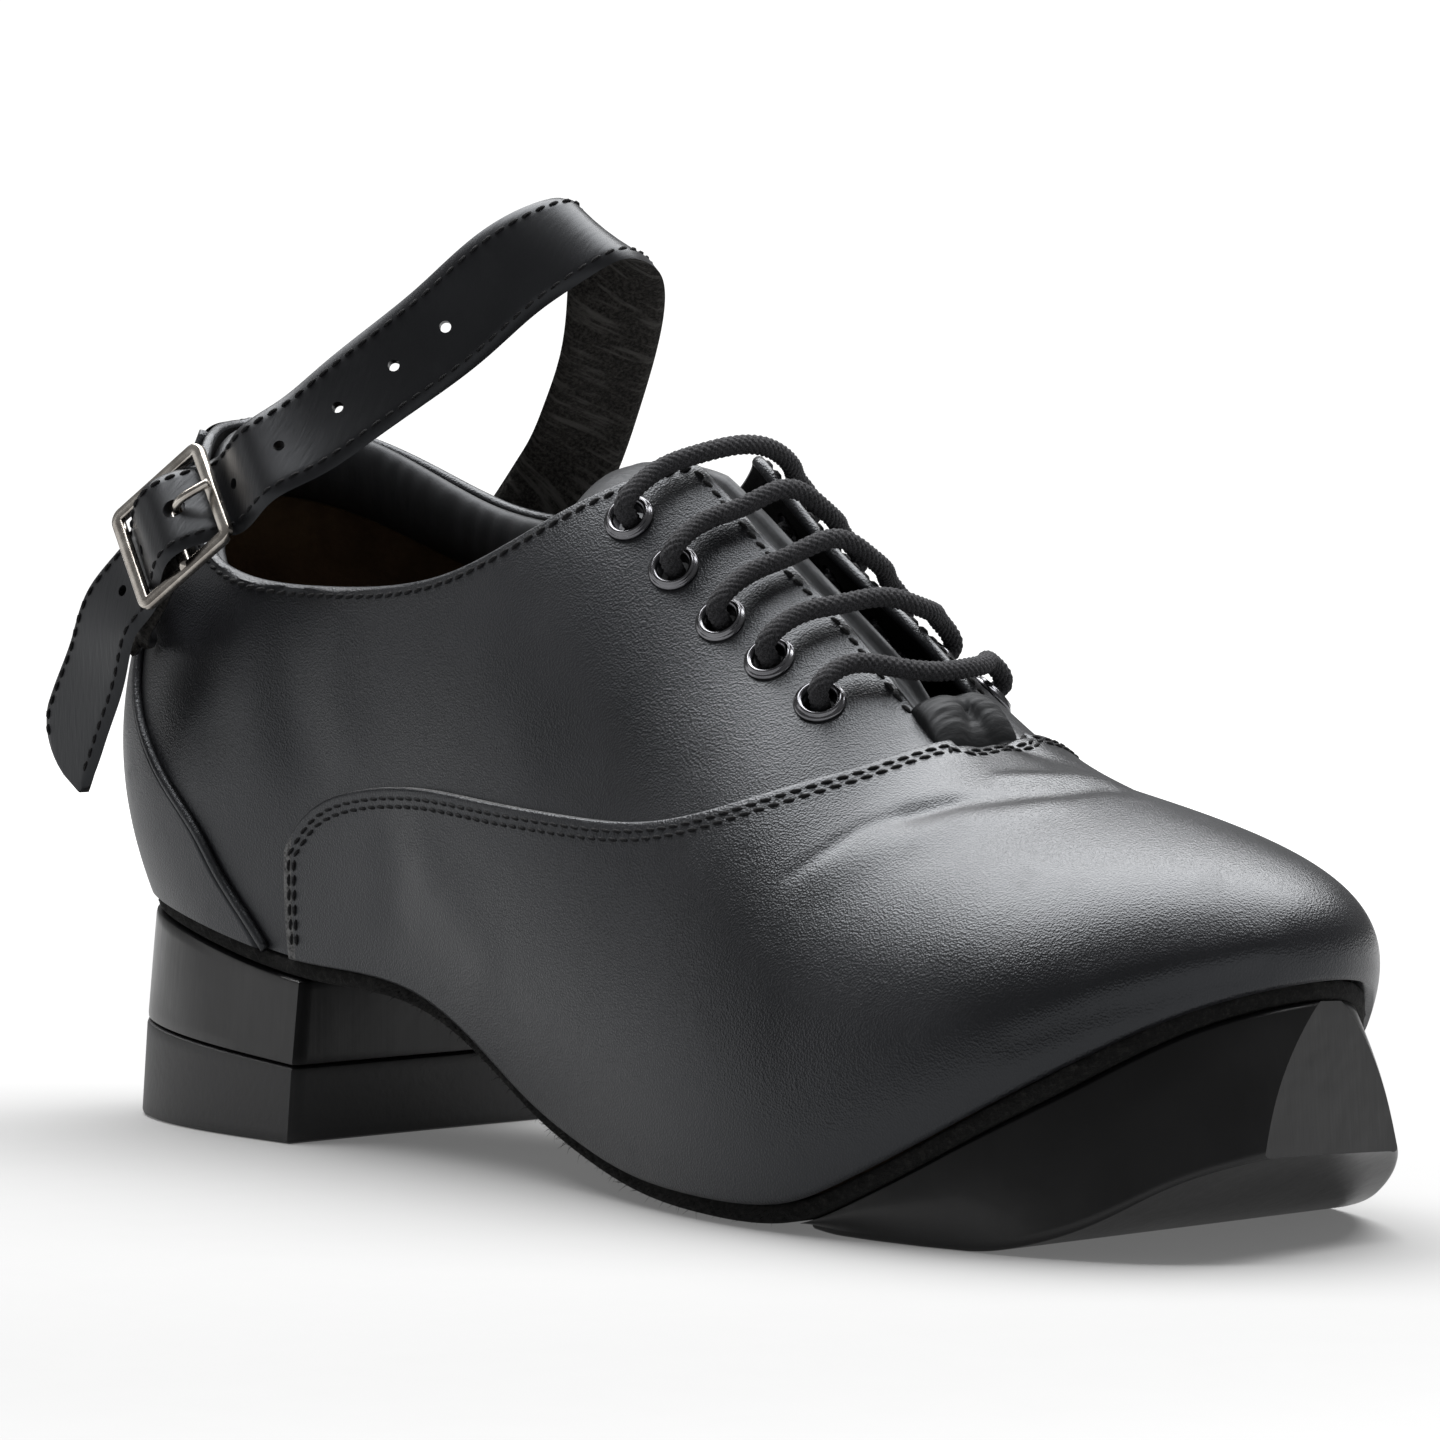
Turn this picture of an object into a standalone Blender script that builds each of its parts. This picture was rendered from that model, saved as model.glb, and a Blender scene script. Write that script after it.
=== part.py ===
"""Irish hard shoe, right foot. Toe along +X, inner side +Y, up +Z, origin under the middle of the heel.

Sizes in the tables and named values are millimetres; MM turns them into metres when a solid is made.
"""

import math

import bmesh
import bpy
import numpy as np
from mathutils import Matrix, Vector
from mathutils.bvhtree import BVHTree

for old in list(bpy.data.objects):
    bpy.data.objects.remove(old)

MM = 0.001
GAP = 0.3  # clearance that touching pieces keep

# Upper
WALL = 2.0
OVERLAY_THICK = 1.0  # vamp panel and heel counter lie on the wall
OVERLAY_SEAT = 1.1  # wall is pressed in by this under them
UPPER_COLUMNS = 76
UPPER_ROWS = 10
PANEL_COLUMNS = 48
PANEL_ROWS = 9
COUNTER_COLUMNS = 16
COUNTER_ROWS = 9
PAD_SIDES = 8
PAD_DEEP = 6.0  # middle of the collar pad's section lies this far below the edge
PAD_TALL = 6.6  # half height of that section
PAD_THICK = 2.7  # and its half thickness

# Sole, heel and tip
SOLE_COLUMNS = 64
INSOLE_COLUMNS = 48
HEEL_COLUMNS = 26
SOLE_THICK = 3.2
INSOLE_THICK = 2.0
INSOLE_INSET = 3.4  # insole edge lies inside the upper's lower edge by this much
HEEL_BREAST_X = 29.2
HEEL_SPREAD = 2.4  # heel grows outward by this much from sole to floor
LIFT_FRONT = 12.5  # height of the lower lift at the breast
LIFT_BACK = 17.0

# Closure
SLOT_HALF = 7.0  # half width of the throat slot
SLOT_Y = 0.4
SLOT_END_X = 154.6
CORNER = 2.5  # rounding where the collar meets the slot
EYELET_Y = 18.0
EYELET_OUTER_R = 4.0
EYELET_HOLE_R = 2.5
EYELET_BARREL_R = 3.0
EYELET_SIDES = 8
LACE_R = 1.55
LACE_STEP = 3.0
TONGUE_DROP = 2.25  # plumb thickness, 1.8 square to the tongue's slope
TONGUE_CROWN = 0.04  # tongue falls from its middle by this times y squared
TONGUE_CROWN_INNER = 0.05  # and by this on the inner side

# Ankle strap and buckle
STRAP_WIDTH = 16.0
STRAP_THICK = 2.0
STRAP_STEP = 3.8
STRAP_HOLE_R = 0.9
BUCKLE_LONG = 21.5
BUCKLE_WIDE = 21.0
BUCKLE_BAR = 2.2
BUCKLE_THICK = 2.0

# Rows run round the shoe from the heel's back along the outer side to the toe and home on the inner side.
# turn: place round the shoe; foot_x, foot_y: the upper's lower edge; top_x, top_y, top_z: line that the
# ribs rise to, above the opening; flare, rise: how far a rib leaves its foot outward and upward;
# lean, drop: how far its upper handle lies outward of and below that line.
RIBS = [
    # turn  foot_x foot_y top_x  top_y  top_z  flare  rise  lean  drop
    (0.000, -29.0,   0.0, -21.0,   2.0, 125.0, 15.0, 34.0,  9.0, 26.0),
    (0.030, -26.5, -10.5, -17.0,  -9.0, 123.0, 15.0, 34.0,  8.0, 26.0),
    (0.065, -19.0, -20.5,  -6.0, -17.5, 117.0, 13.0, 34.0,  6.0, 26.0),
    (0.110,   0.0, -27.5,  10.0, -22.0, 112.0,  8.0, 34.0,  5.0, 28.0),
    (0.170,  30.0, -29.0,  38.0, -21.0, 112.0,  4.0, 30.0,  8.0, 28.0),
    (0.220,  60.0, -30.0,  66.0, -17.0, 115.0,  4.0, 26.0, 16.0, 26.0),
    (0.270,  90.0, -33.5,  92.0,  -7.0, 113.8,  7.0, 32.0, 24.0, 13.5),
    (0.320, 118.0, -39.5, 112.0,  -0.5, 103.6,  8.5, 34.5, 24.0, 13.0),
    (0.365, 142.0, -44.0, 131.0,   0.0,  89.8,  8.0, 33.5, 25.0, 11.5),
    (0.405, 165.0, -44.0, 145.0,   0.0,  76.0,  7.0, 31.0, 24.0,  9.0),
    (0.440, 189.0, -38.5, 149.0,   0.0,  71.5,  8.0, 25.5, 22.0,  9.0),
    (0.470, 209.0, -26.0, 149.5,   0.3,  70.0,  8.0, 22.0, 19.0,  9.0),
    (0.500, 220.5,   0.0, 149.5,   0.6,  70.0,  8.0, 20.0, 18.0,  9.0),
    (0.530, 212.0,  20.0, 149.5,   0.9,  70.0,  8.0, 22.0, 19.0,  9.0),
    (0.560, 195.0,  33.0, 149.0,   1.0,  71.5,  8.0, 25.5, 22.0,  9.0),
    (0.595, 172.0,  41.0, 145.0,   1.0,  76.0,  7.0, 31.0, 24.0, 10.0),
    (0.635, 147.0,  44.0, 131.0,   1.0,  89.4,  7.0, 33.0, 25.0, 15.0),
    (0.680, 120.0,  38.0, 112.0,   1.5, 103.2,  8.0, 34.0, 24.0, 18.0),
    (0.730,  90.0,  29.0,  92.0,   8.0, 114.6,  9.0, 36.0, 22.0, 18.0),
    (0.780,  60.0,  26.0,  66.0,  20.0, 118.0,  8.0, 34.0, 13.0, 28.0),
    (0.830,  30.0,  26.5,  38.0,  27.0, 117.0,  8.0, 34.0,  6.0, 28.0),
    (0.890,   0.0,  26.5,  10.0,  25.5, 120.0,  8.5, 36.0,  4.0, 26.0),
    (0.935, -18.5,  19.5,  -6.0,  20.5, 123.0, 11.0, 35.0,  6.0, 26.0),
    (0.970, -26.5,   9.5, -17.0,  12.0, 125.0, 14.0, 34.0,  8.0, 26.0),
]

# Side view of the upper's lower edge
FOOT_PROFILE = [
    # x      z
    (-32.0, 39.6),
    (-20.0, 38.0),
    (0.0, 34.6),
    (30.0, 29.6),
    (60.0, 26.8),
    (75.0, 21.0),
    (90.0, 13.6),
    (105.0, 8.6),
    (121.0, 5.3),
    (140.0, 4.0),
    (153.0, 4.1),
    (162.0, 5.6),
    (170.0, 9.0),
    (180.0, 14.2),
    (192.0, 21.2),
    (205.0, 29.3),
    (215.0, 36.0),
    (226.0, 41.5),
]

# Height of the collar's edge; outer and inner side of the shoe
COLLAR = [
    # x     outer  inner
    (-30.0, 116.5, 116.5),
    (-20.0, 113.5, 115.5),
    (-12.0, 104.0, 113.0),
    (-4.0,   96.0, 109.5),
    (5.0,    92.0, 105.5),
    (15.0,   90.2, 102.0),
    (30.0,   89.6, 100.0),
    (50.0,   90.6, 99.5),
    (66.0,   94.4, 101.0),
    (80.0,  101.5, 106.0),
    (90.0,  107.2, 110.0),
    (97.0,  110.4, 112.0),
    (105.0, 114.0, 115.0),
    (112.0, 118.0, 118.0),
]

# Upper edge of the vamp panel, the same on both sides
PANEL_EDGE = [
    # x      z
    (24.0, 40.0),
    (27.2, 47.0),
    (31.0, 52.0),
    (37.0, 55.6),
    (45.0, 57.6),
    (60.0, 58.9),
    (80.0, 57.9),
    (100.0, 56.8),
    (116.0, 56.6),
    (127.0, 58.2),
    (138.0, 61.4),
    (146.0, 64.4),
    (151.0, 67.0),
    (156.0, 72.0),
]
PANEL_REAR_X = 26.8

# Front edge of the heel counter, the same on both sides
COUNTER_EDGE = [
    # z      x
    (30.0, 21.0),
    (37.0, 14.6),
    (41.0, 10.6),
    (49.0, 3.9),
    (55.0, -3.2),
    (63.0, -11.8),
    (72.0, -18.2),
    (80.0, -20.5),
    (100.0, -21.0),
    (125.0, -21.0),
]

# Eyelets along each facing
EYELET_X = (94.7, 104.9, 115.5, 126.3, 137.3)

# Height of the lace's bars over the instep, from outer to inner eyelet
LACE_BAR = [
    # y     forward  lift
    (-15.4, 2.0, 4.6),
    (-9.0, 5.2, 3.7),
    (-1.0, 7.4, 3.1),
    (6.0, 7.2, 3.4),
    (11.5, 5.2, 4.2),
    (15.6, 2.2, 4.7),
]

# Tongue
TONGUE = [
    # x     z      half  bulge
    (75.0, 109.0, 16.0, 0.0),
    (78.0, 109.6, 20.0, 0.0),
    (84.0, 108.8, 21.0, 0.0),
    (92.0, 105.4, 22.0, 0.0),
    (101.0, 99.8, 22.0, 0.0),
    (111.0, 92.6, 22.0, 0.0),
    (121.0, 85.6, 22.0, 0.0),
    (131.0, 78.6, 22.0, 0.0),
    (139.0, 72.4, 21.0, 0.0),
    (143.4, 69.0, 20.0, 0.0),
    (145.0, 67.8, 19.5, 6.0),
    (147.5, 66.0, 19.0, 8.0),
    (150.2, 64.0, 18.0, 7.4),
    (151.6, 63.2, 17.0, 5.0),
    (152.4, 62.6, 16.0, 0.0),
    (158.0, 60.2, 14.0, 0.0),
    (163.0, 58.2, 12.0, 0.0),
]
TONGUE_ACROSS = (-1.0, -0.7, -0.42, -0.285, -0.262, -0.13, 0.0, 0.13, 0.262, 0.285, 0.42, 0.7, 1.0)
BULGE_SHARE = 0.27

# Toe tip: its upper edge under the sole and its flared lower edge, outer side to inner side
TIP = [
    # top_x  top_y   low_x  low_y  low_z
    (160.0, -43.0, 160.0, -40.6, 0.4),
    (165.0, -42.8, 165.5, -41.0, 0.0),
    (172.0, -41.9, 173.0, -41.0, 0.0),
    (179.0, -40.4, 181.0, -40.2, 0.0),
    (186.0, -38.4, 189.0, -38.6, 0.0),
    (193.0, -35.4, 196.0, -37.2, 0.9),
    (200.0, -31.4, 203.0, -34.8, 2.9),
    (206.0, -27.2, 209.0, -32.0, 5.6),
    (211.0, -22.4, 214.5, -28.6, 8.9),
    (215.0, -17.0, 219.5, -23.0, 12.0),
    (219.0, -8.4, 224.2, -14.0, 14.2),
    (220.6, 1.5, 224.6, -2.0, 14.4),
    (219.0, 8.6, 224.0, 10.5, 14.2),
    (215.6, 14.2, 220.0, 18.4, 12.2),
    (211.0, 19.4, 214.8, 24.0, 9.0),
    (206.0, 24.2, 209.0, 28.4, 5.6),
    (200.0, 28.9, 203.0, 32.0, 2.9),
    (193.0, 33.0, 196.0, 35.2, 0.9),
    (186.0, 36.2, 189.0, 37.4, 0.0),
    (179.0, 38.4, 181.0, 39.0, 0.0),
    (172.0, 40.2, 173.0, 40.0, 0.0),
    (165.0, 41.6, 165.0, 40.4, 0.0),
    (160.0, 42.4, 160.0, 40.6, 0.4),
]

# Ankle strap: its foot on the inner wall, then over the top and down to the buckle; across points over
# the strap's width, away from the heel
STRAP_FOOT = [
    # x    z
    (-3.0, 75.0),
    (0.0, 79.5),
    (3.2, 84.0),
    (6.6, 88.6),
]
STRAP = [
    # x      y      z     across_x across_y across_z
    (18.0, 35.0, 105.0, 0.74, 0.62, -0.15),
    (29.0, 32.5, 117.5, 0.50, 0.84, -0.10),
    (38.5, 28.0, 127.5, 0.42, 0.88, -0.10),
    (45.2, 23.5, 136.0, 0.50, 0.78, -0.25),
    (50.0, 18.2, 143.2, 0.68, 0.50, -0.45),
    (52.4, 12.0, 146.5, 0.77, 0.20, -0.60),
    (50.4, 6.0, 144.5, 0.66, 0.26, -0.70),
    (46.0, -0.6, 139.6, 0.50, 0.38, -0.78),
    (40.4, -7.6, 131.6, 0.50, 0.33, -0.80),
    (35.2, -14.2, 125.0, 0.55, 0.20, -0.80),
    (30.2, -21.0, 118.6, 0.60, 0.08, -0.79),
    (25.6, -27.4, 112.8, 0.65, -0.04, -0.75),
    (21.4, -32.2, 109.0, 0.68, -0.12, -0.72),
]

# Where the strap crosses the buckle and how its free end hangs
STRAP_END = [
    # x      y      z     across_x across_y across_z
    (-8.2, -38.4, 84.6, 0.90, -0.08, -0.42),
    (-12.6, -38.2, 76.2, 0.96, -0.02, -0.28),
    (-17.4, -38.0, 68.0, 0.98, 0.02, -0.16),
    (-22.6, -38.0, 57.0, 0.98, 0.02, -0.14),
]
BUCKLE_AT = (6.0, -37.4, 98.6)
BUCKLE_ALONG = (0.744, 0.265, 0.611)  # from the free end's side to the strap's side
BUCKLE_ACROSS = (0.686, -0.185, -0.706)
WEAVE = 2.9  # strap lies this far under the end bars and over the middle bar

# Strap holes, counted from the one that the prong takes toward the strap's foot
HOLE_PITCH = 11.0
HOLE_COUNTS = (-2, -1, 1, 2, 3, 4, 5)
PRONG_HOLE = 3.4  # from the buckle's middle bar
PRONG_HOLE_R = 1.7
PRONG_R = 0.7

# Anchor strap: its foot on the outer wall over the counter's edge, then out to the buckle's middle bar
ANCHOR_FOOT = [
    # x     z
    (-19.0, 80.4),
    (-15.5, 83.4),
]
ANCHOR_RISE = [
    # along   out   from the middle bar
    (-16.6, -8.2),
    (-9.7, -5.5),
    (-4.8, -3.3),
    (-1.5, -2.6),
    (1.1, -2.45),
]
ANCHOR_WIDTH = 14.0
ANCHOR_THICK = 2.0


def spline(rows, column, period=None):
    """Smooth curve of one table column over the first one, closed if a period is given."""
    x = np.array([row[0] for row in rows], float)
    y = np.array([row[column] for row in rows], float)
    if period:
        x = np.concatenate([x - period, x, x + period])
        y = np.concatenate([y, y, y])
    step = np.diff(x)
    rise = np.diff(y) / step
    count = len(x)
    lhs = np.eye(count)
    rhs = np.zeros(count)
    for i in range(1, count - 1):
        lhs[i, i - 1] = step[i - 1]
        lhs[i, i] = 2 * (step[i - 1] + step[i])
        lhs[i, i + 1] = step[i]
        rhs[i] = 6 * (rise[i] - rise[i - 1])
    bend = np.linalg.solve(lhs, rhs)

    def value(at):
        at = np.clip(np.asarray(at, float), x[0], x[-1])
        i = np.clip(np.searchsorted(x, at) - 1, 0, count - 2)
        left = at - x[i]
        right = x[i + 1] - at
        return (
            (bend[i] * right**3 + bend[i + 1] * left**3) / (6 * step[i])
            + (y[i] / step[i] - bend[i] * step[i] / 6) * right
            + (y[i + 1] / step[i] - bend[i + 1] * step[i] / 6) * left
        )

    return value


FOOT_X, FOOT_Y, TOP_X, TOP_Y, TOP_Z, FLARE, RISE, LEAN, DROP = (
    spline(RIBS, column, 1.0) for column in range(1, 10)
)
FOOT_Z = spline(FOOT_PROFILE, 1)


def foot(turn, inset=0.0):
    """Lower edge of the upper, or a line inside it by inset."""
    turn = np.asarray(turn, float)
    x = FOOT_X(turn)
    y = FOOT_Y(turn)
    dx = FOOT_X(turn + 1e-4) - FOOT_X(turn - 1e-4)
    dy = FOOT_Y(turn + 1e-4) - FOOT_Y(turn - 1e-4)
    length = np.hypot(dx, dy)
    return x - dy / length * inset, y + dx / length * inset


def rib(turn, climb):
    """Point of the lasted surface: turn goes round the shoe, climb from the sole to the guide line."""
    turn, climb = np.broadcast_arrays(np.asarray(turn, float), np.asarray(climb, float))
    fx, fy = foot(turn)
    fz = FOOT_Z(fx)
    tx = TOP_X(turn)
    ty = TOP_Y(turn)
    tz = TOP_Z(turn)
    reach = np.hypot(fx - tx, fy - ty)
    hx = (fx - tx) / reach
    hy = (fy - ty) / reach
    ox, oy = foot(turn, -1.0)
    ox = ox - fx
    oy = oy - fy
    a = (1 - climb) ** 3
    b = 3 * (1 - climb) ** 2 * climb
    c = 3 * (1 - climb) * climb**2
    d = climb**3
    x = a * fx + b * (fx + ox * FLARE(turn)) + c * (tx + hx * LEAN(turn)) + d * tx
    y = a * fy + b * (fy + oy * FLARE(turn)) + c * (ty + hy * LEAN(turn)) + d * ty
    z = a * fz + b * (fz + RISE(turn)) + c * (tz - DROP(turn)) + d * tz
    return np.stack([x, y, z], -1)


def outward(turn, climb):
    """Unit normal of the lasted surface, away from the foot."""
    du = rib(turn + 1e-3, climb) - rib(turn - 1e-3, climb)
    dv = rib(turn, climb + 1e-3) - rib(turn, climb - 1e-3)
    normal = np.cross(du, dv)
    return normal / np.linalg.norm(normal, axis=-1, keepdims=True)


COLLAR_OUTER = spline(COLLAR, 1)
COLLAR_INNER = spline(COLLAR, 2)
PANEL_Z = spline(PANEL_EDGE, 1)
COUNTER_X = spline(COUNTER_EDGE, 1)


def opening_side(point, turn):
    """Above zero inside the collar opening or the throat slot."""
    x, y, z = point[..., 0], point[..., 1], point[..., 2]
    collar = np.where(turn < 0.5, COLLAR_OUTER(x), COLLAR_INNER(x))
    above = z - np.where(x < 112, collar, 200.0)
    slot = np.minimum(SLOT_HALF - np.abs(y - SLOT_Y), SLOT_END_X - x)
    slot = np.where(x > 80, slot, -50.0)
    near = np.clip(0.5 + 0.5 * (above - slot) / CORNER, 0, 1)
    return slot * (1 - near) + above * near + CORNER * near * (1 - near)


def first_climb(turn, above, start):
    """How far up each rib, from start, above() first turns positive; 1 where it never does."""
    climbs = np.linspace(start, 1.0, 400)
    turn = np.atleast_1d(turn)
    grid = rib(turn[:, None], climbs[None, :])
    side = above(grid, np.broadcast_to(turn[:, None], grid.shape[:2]))
    limit = np.ones(len(turn))
    for row in range(len(turn)):
        inside = np.nonzero(side[row] > 0)[0]
        if len(inside) and inside[0] > 0:
            i = inside[0]
            low, high = side[row, i - 1], side[row, i]
            limit[row] = climbs[i - 1] + (climbs[i] - climbs[i - 1]) * -low / (high - low)
    return limit


def opening_climb(turn):
    return first_climb(turn, opening_side, 0.35)


def material(name, colour, roughness, metallic=0.0):
    made = bpy.data.materials.new(name)
    made.use_nodes = True
    shader = made.node_tree.nodes["Principled BSDF"]
    shader.inputs["Base Color"].default_value = (*colour, 1)
    shader.inputs["Roughness"].default_value = roughness
    shader.inputs["Metallic"].default_value = metallic
    made.diffuse_color = (*colour, 1)
    return made


def add_object(name, points, faces, finish):
    mesh = bpy.data.meshes.new(name)
    mesh.from_pydata([tuple(point * MM) for point in np.asarray(points, float)], [], faces)
    made = bmesh.new()
    made.from_mesh(mesh)
    bmesh.ops.remove_doubles(made, verts=made.verts, dist=1e-6)
    bmesh.ops.recalc_face_normals(made, faces=made.faces)
    made.to_mesh(mesh)
    made.free()
    mesh.materials.append(finish)
    mesh.shade_smooth()
    mesh.set_sharp_from_angle(angle=math.radians(35))
    thing = bpy.data.objects.new(name, mesh)
    bpy.context.scene.collection.objects.link(thing)
    return thing


def loft(name, rings, finish, tube=False):
    """Solid through rings of points: a tube closes on itself, else both end rings are capped across."""
    rings = [np.asarray(ring, float) for ring in rings]
    count = len(rings[0])
    last = len(rings) if tube else len(rings) - 1
    faces = []
    for i in range(last):
        j = (i + 1) % len(rings)
        for k in range(count):
            m = (k + 1) % count
            faces.append((i * count + k, i * count + m, j * count + m, j * count + k))
    if not tube:
        for start in (0, (len(rings) - 1) * count):
            for k in range((count - 1) // 2):
                far = start + count - 1 - k
                corners = [start + k, start + k + 1, far - 1, far]
                faces.append(tuple(dict.fromkeys(corners)))
    return add_object(name, np.concatenate(rings), faces, finish)


def sheet(name, outer, inner, finish):
    """Solid between two grids of points, closed round its rim."""
    rows, columns = outer.shape[:2]
    rings = []
    for grid, order in ((outer, 1), (inner, -1)):
        for column in range(columns)[::order]:
            rings.append(grid[:, column])
    points = np.concatenate(rings)
    faces = []
    for i in range(2 * columns):
        j = (i + 1) % (2 * columns)
        for k in range(rows - 1):
            faces.append((i * rows + k, i * rows + k + 1, j * rows + k + 1, j * rows + k))
    for k in (0, rows - 1):
        for i in range(columns - 1):
            j = 2 * columns - 1 - i
            faces.append((i * rows + k, (i + 1) * rows + k, (j - 1) * rows + k, j * rows + k))
    return add_object(name, points, faces, finish)


def punch(thing, name, places, radius, reach):
    """Cut round holes through a solid at each place along its axis."""
    made = bmesh.new()
    for centre, axis in places:
        turned = Vector(axis).to_track_quat("Z", "Y").to_matrix().to_4x4()
        bmesh.ops.create_cone(
            made,
            cap_ends=True,
            segments=EYELET_SIDES,
            radius1=radius * MM,
            radius2=radius * MM,
            depth=2 * reach * MM,
            matrix=Matrix.Translation(Vector(centre) * MM) @ turned,
        )
    mesh = bpy.data.meshes.new(name)
    made.to_mesh(mesh)
    made.free()
    cutter = bpy.data.objects.new(name, mesh)
    bpy.context.scene.collection.objects.link(cutter)
    cutter.hide_render = True
    cutter.display_type = "WIRE"
    cut = thing.modifiers.new(name, "BOOLEAN")
    cut.object = cutter
    cut.operation = "DIFFERENCE"
    cut.solver = "EXACT"


def turns(count, start=0.0, end=1.0):
    """Places round the shoe, spread by length along the lower edge, half a step in from both ends."""
    fine = np.linspace(start, end, 1501)
    x, y = foot(fine)
    run = np.concatenate([[0], np.cumsum(np.hypot(np.diff(x), np.diff(y)))])
    return np.interp((np.arange(count) + 0.5) / count * run[-1], run, fine)


def turn_at_x(x, side):
    """Place round the shoe where the lower edge passes x on the outer (-1) or inner (1) side."""
    fine = np.linspace(0.0, 0.5, 801) if side < 0 else np.linspace(1.0, 0.5, 801)
    return float(np.interp(x, FOOT_X(fine), fine))


def grid_tree(grid):
    rows, columns = grid.shape[:2]
    faces = []
    for i in range(rows - 1):
        for k in range(columns - 1):
            at = i * columns + k
            faces.append((at, at + 1, at + columns + 1, at + columns))
    return BVHTree.FromPolygons([tuple(point) for point in grid.reshape(-1, 3)], faces)


def top_surface():
    """The last's instep and toe with the throat bridged, to rest pieces on."""
    steps = np.linspace(0.2, 0.5, 90)
    climbs = np.linspace(0.3, 1.0, 40)
    outer = rib(steps[:, None], climbs[None, :])
    inner = rib(1 - steps[:, None], climbs[None, ::-1])
    return grid_tree(np.concatenate([outer, inner], 1))


def wall_surface():
    """The last's walls all round, to rest pieces on."""
    steps = np.linspace(0.0, 1.0, 240)
    grid = rib(steps[:, None], np.linspace(0.05, 0.95, 60)[None, :])
    return grid_tree(grid)


TOP_SURFACE = top_surface()
WALL_SURFACE = wall_surface()


def height(x, y):
    return TOP_SURFACE.ray_cast(Vector((x, y, 200.0)), Vector((0, 0, -1)))[0].z


def drape(x, y):
    """Point and normal of the last's top over a place in plan."""
    reach = 2.0
    slope_x = (height(x + reach, y) - height(x - reach, y)) / (2 * reach)
    slope_y = (height(x, y + reach) - height(x, y - reach)) / (2 * reach)
    normal = np.array([-slope_x, -slope_y, 1.0])
    return np.array([x, y, height(x, y)]), normal / np.linalg.norm(normal)


def on_wall(places, side, lift):
    """Strap rows over places (x, z) of the outer (-1) or inner (1) wall, lifted off it."""
    points = []
    normals = []
    for x, z in places:
        point, normal, _, _ = WALL_SURFACE.ray_cast(Vector((x, side * 100.0, z)), Vector((0, -side, 0)))
        normal = np.array(normal) * np.sign(normal.y * side)
        points.append(np.array(point) + normal * lift)
        normals.append(normal)
    across = np.cross(np.gradient(np.array(points), axis=0), normals)
    across *= np.sign(across[:, :1])
    across /= np.linalg.norm(across, axis=1, keepdims=True)
    return [(*point, *line) for point, line in zip(points, across)]


def lifted(turn, climb, lift):
    return rib(turn, climb) + outward(turn, climb) * lift


leather = material("black leather", (0.012, 0.012, 0.013), 0.38)
lining = material("soft black leather", (0.015, 0.015, 0.015), 0.6)
board = material("tan board", (0.35, 0.22, 0.12), 0.8)
sole_leather = material("black sole leather", (0.01, 0.01, 0.01), 0.7)
resin = material("black resin", (0.008, 0.008, 0.009), 0.15)
satin_resin = material("satin black resin", (0.012, 0.012, 0.013), 0.4)
gunmetal = material("gunmetal", (0.05, 0.05, 0.055), 0.25, 1.0)
nickel = material("polished nickel", (0.6, 0.58, 0.55), 0.18, 1.0)
cotton = material("black braid", (0.012, 0.012, 0.012), 0.9)


def covered(point):
    """1 where the vamp panel or the heel counter lies over the wall, else 0."""
    x, z = point[..., 0], point[..., 2]
    margin = 2.0
    panel = (x > PANEL_REAR_X - margin) & ((z < PANEL_Z(x) + margin) | (x > 152.0))
    counter = x < COUNTER_X(z) + 5 * margin
    return np.where(panel | counter, 1.0, 0.0)[..., None]


def make_upper():
    turn = turns(UPPER_COLUMNS)
    edge = opening_climb(turn)
    outer = []
    inner = []
    for share in np.linspace(0, 1, UPPER_ROWS):
        point = rib(turn, edge * share)
        normal = outward(turn, edge * share)
        point = point - normal * covered(point) * OVERLAY_SEAT
        outer.append(point)
        inner.append(point - normal * WALL)
    upper = loft("upper", outer + inner[::-1], leather, tube=True)
    places = []
    for x in EYELET_X:
        for side in (-1, 1):
            places.append(drape(x, side * EYELET_Y))
    punch(upper, "eyelet_punch", places, EYELET_BARREL_R + GAP, 5.0)


def make_vamp_panel():
    rear = turn_at_x(PANEL_REAR_X, -1)
    front = turn_at_x(PANEL_REAR_X, 1)
    turn = turns(PANEL_COLUMNS, rear, front)

    def above(grid, _):
        x, z = grid[..., 0], grid[..., 2]
        return np.where(x < PANEL_EDGE[-1][0], z - PANEL_Z(x), -1.0)

    edge = np.minimum(first_climb(turn, above, 0.0), opening_climb(turn) - 0.004)
    shares = np.linspace(0, 1, PANEL_ROWS)
    climb = edge[None, :] * shares[:, None]
    grid = [lifted(turn[None, :], climb, lift) for lift in (GAP + OVERLAY_THICK, GAP)]
    sheet("vamp_panel", grid[0], grid[1], leather)


def make_counter():
    fine = np.linspace(0.0, 0.2, 300)
    edge_out = opening_climb(fine)
    edge_in = opening_climb(1 - fine)
    rows = []
    for share in np.linspace(0.0, 1.0, COUNTER_ROWS):
        ends = []
        for turn, edge in ((fine, edge_out), (1 - fine, edge_in)):
            point = rib(turn, edge * share)
            ahead = point[:, 0] - COUNTER_X(point[:, 2])
            first = int(np.argmax(ahead > 0))
            ends.append(turn[first])
        turn = np.linspace(ends[0], ends[1] - 1.0, COUNTER_COLUMNS)
        climb = opening_climb(turn % 1.0) * share
        rows.append((turn % 1.0, climb))
    turn = np.array([row[0] for row in rows])
    climb = np.array([row[1] for row in rows])
    grid = [lifted(turn, climb, lift) for lift in (GAP + OVERLAY_THICK, GAP)]
    sheet("heel_counter", grid[0], grid[1], leather)


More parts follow.
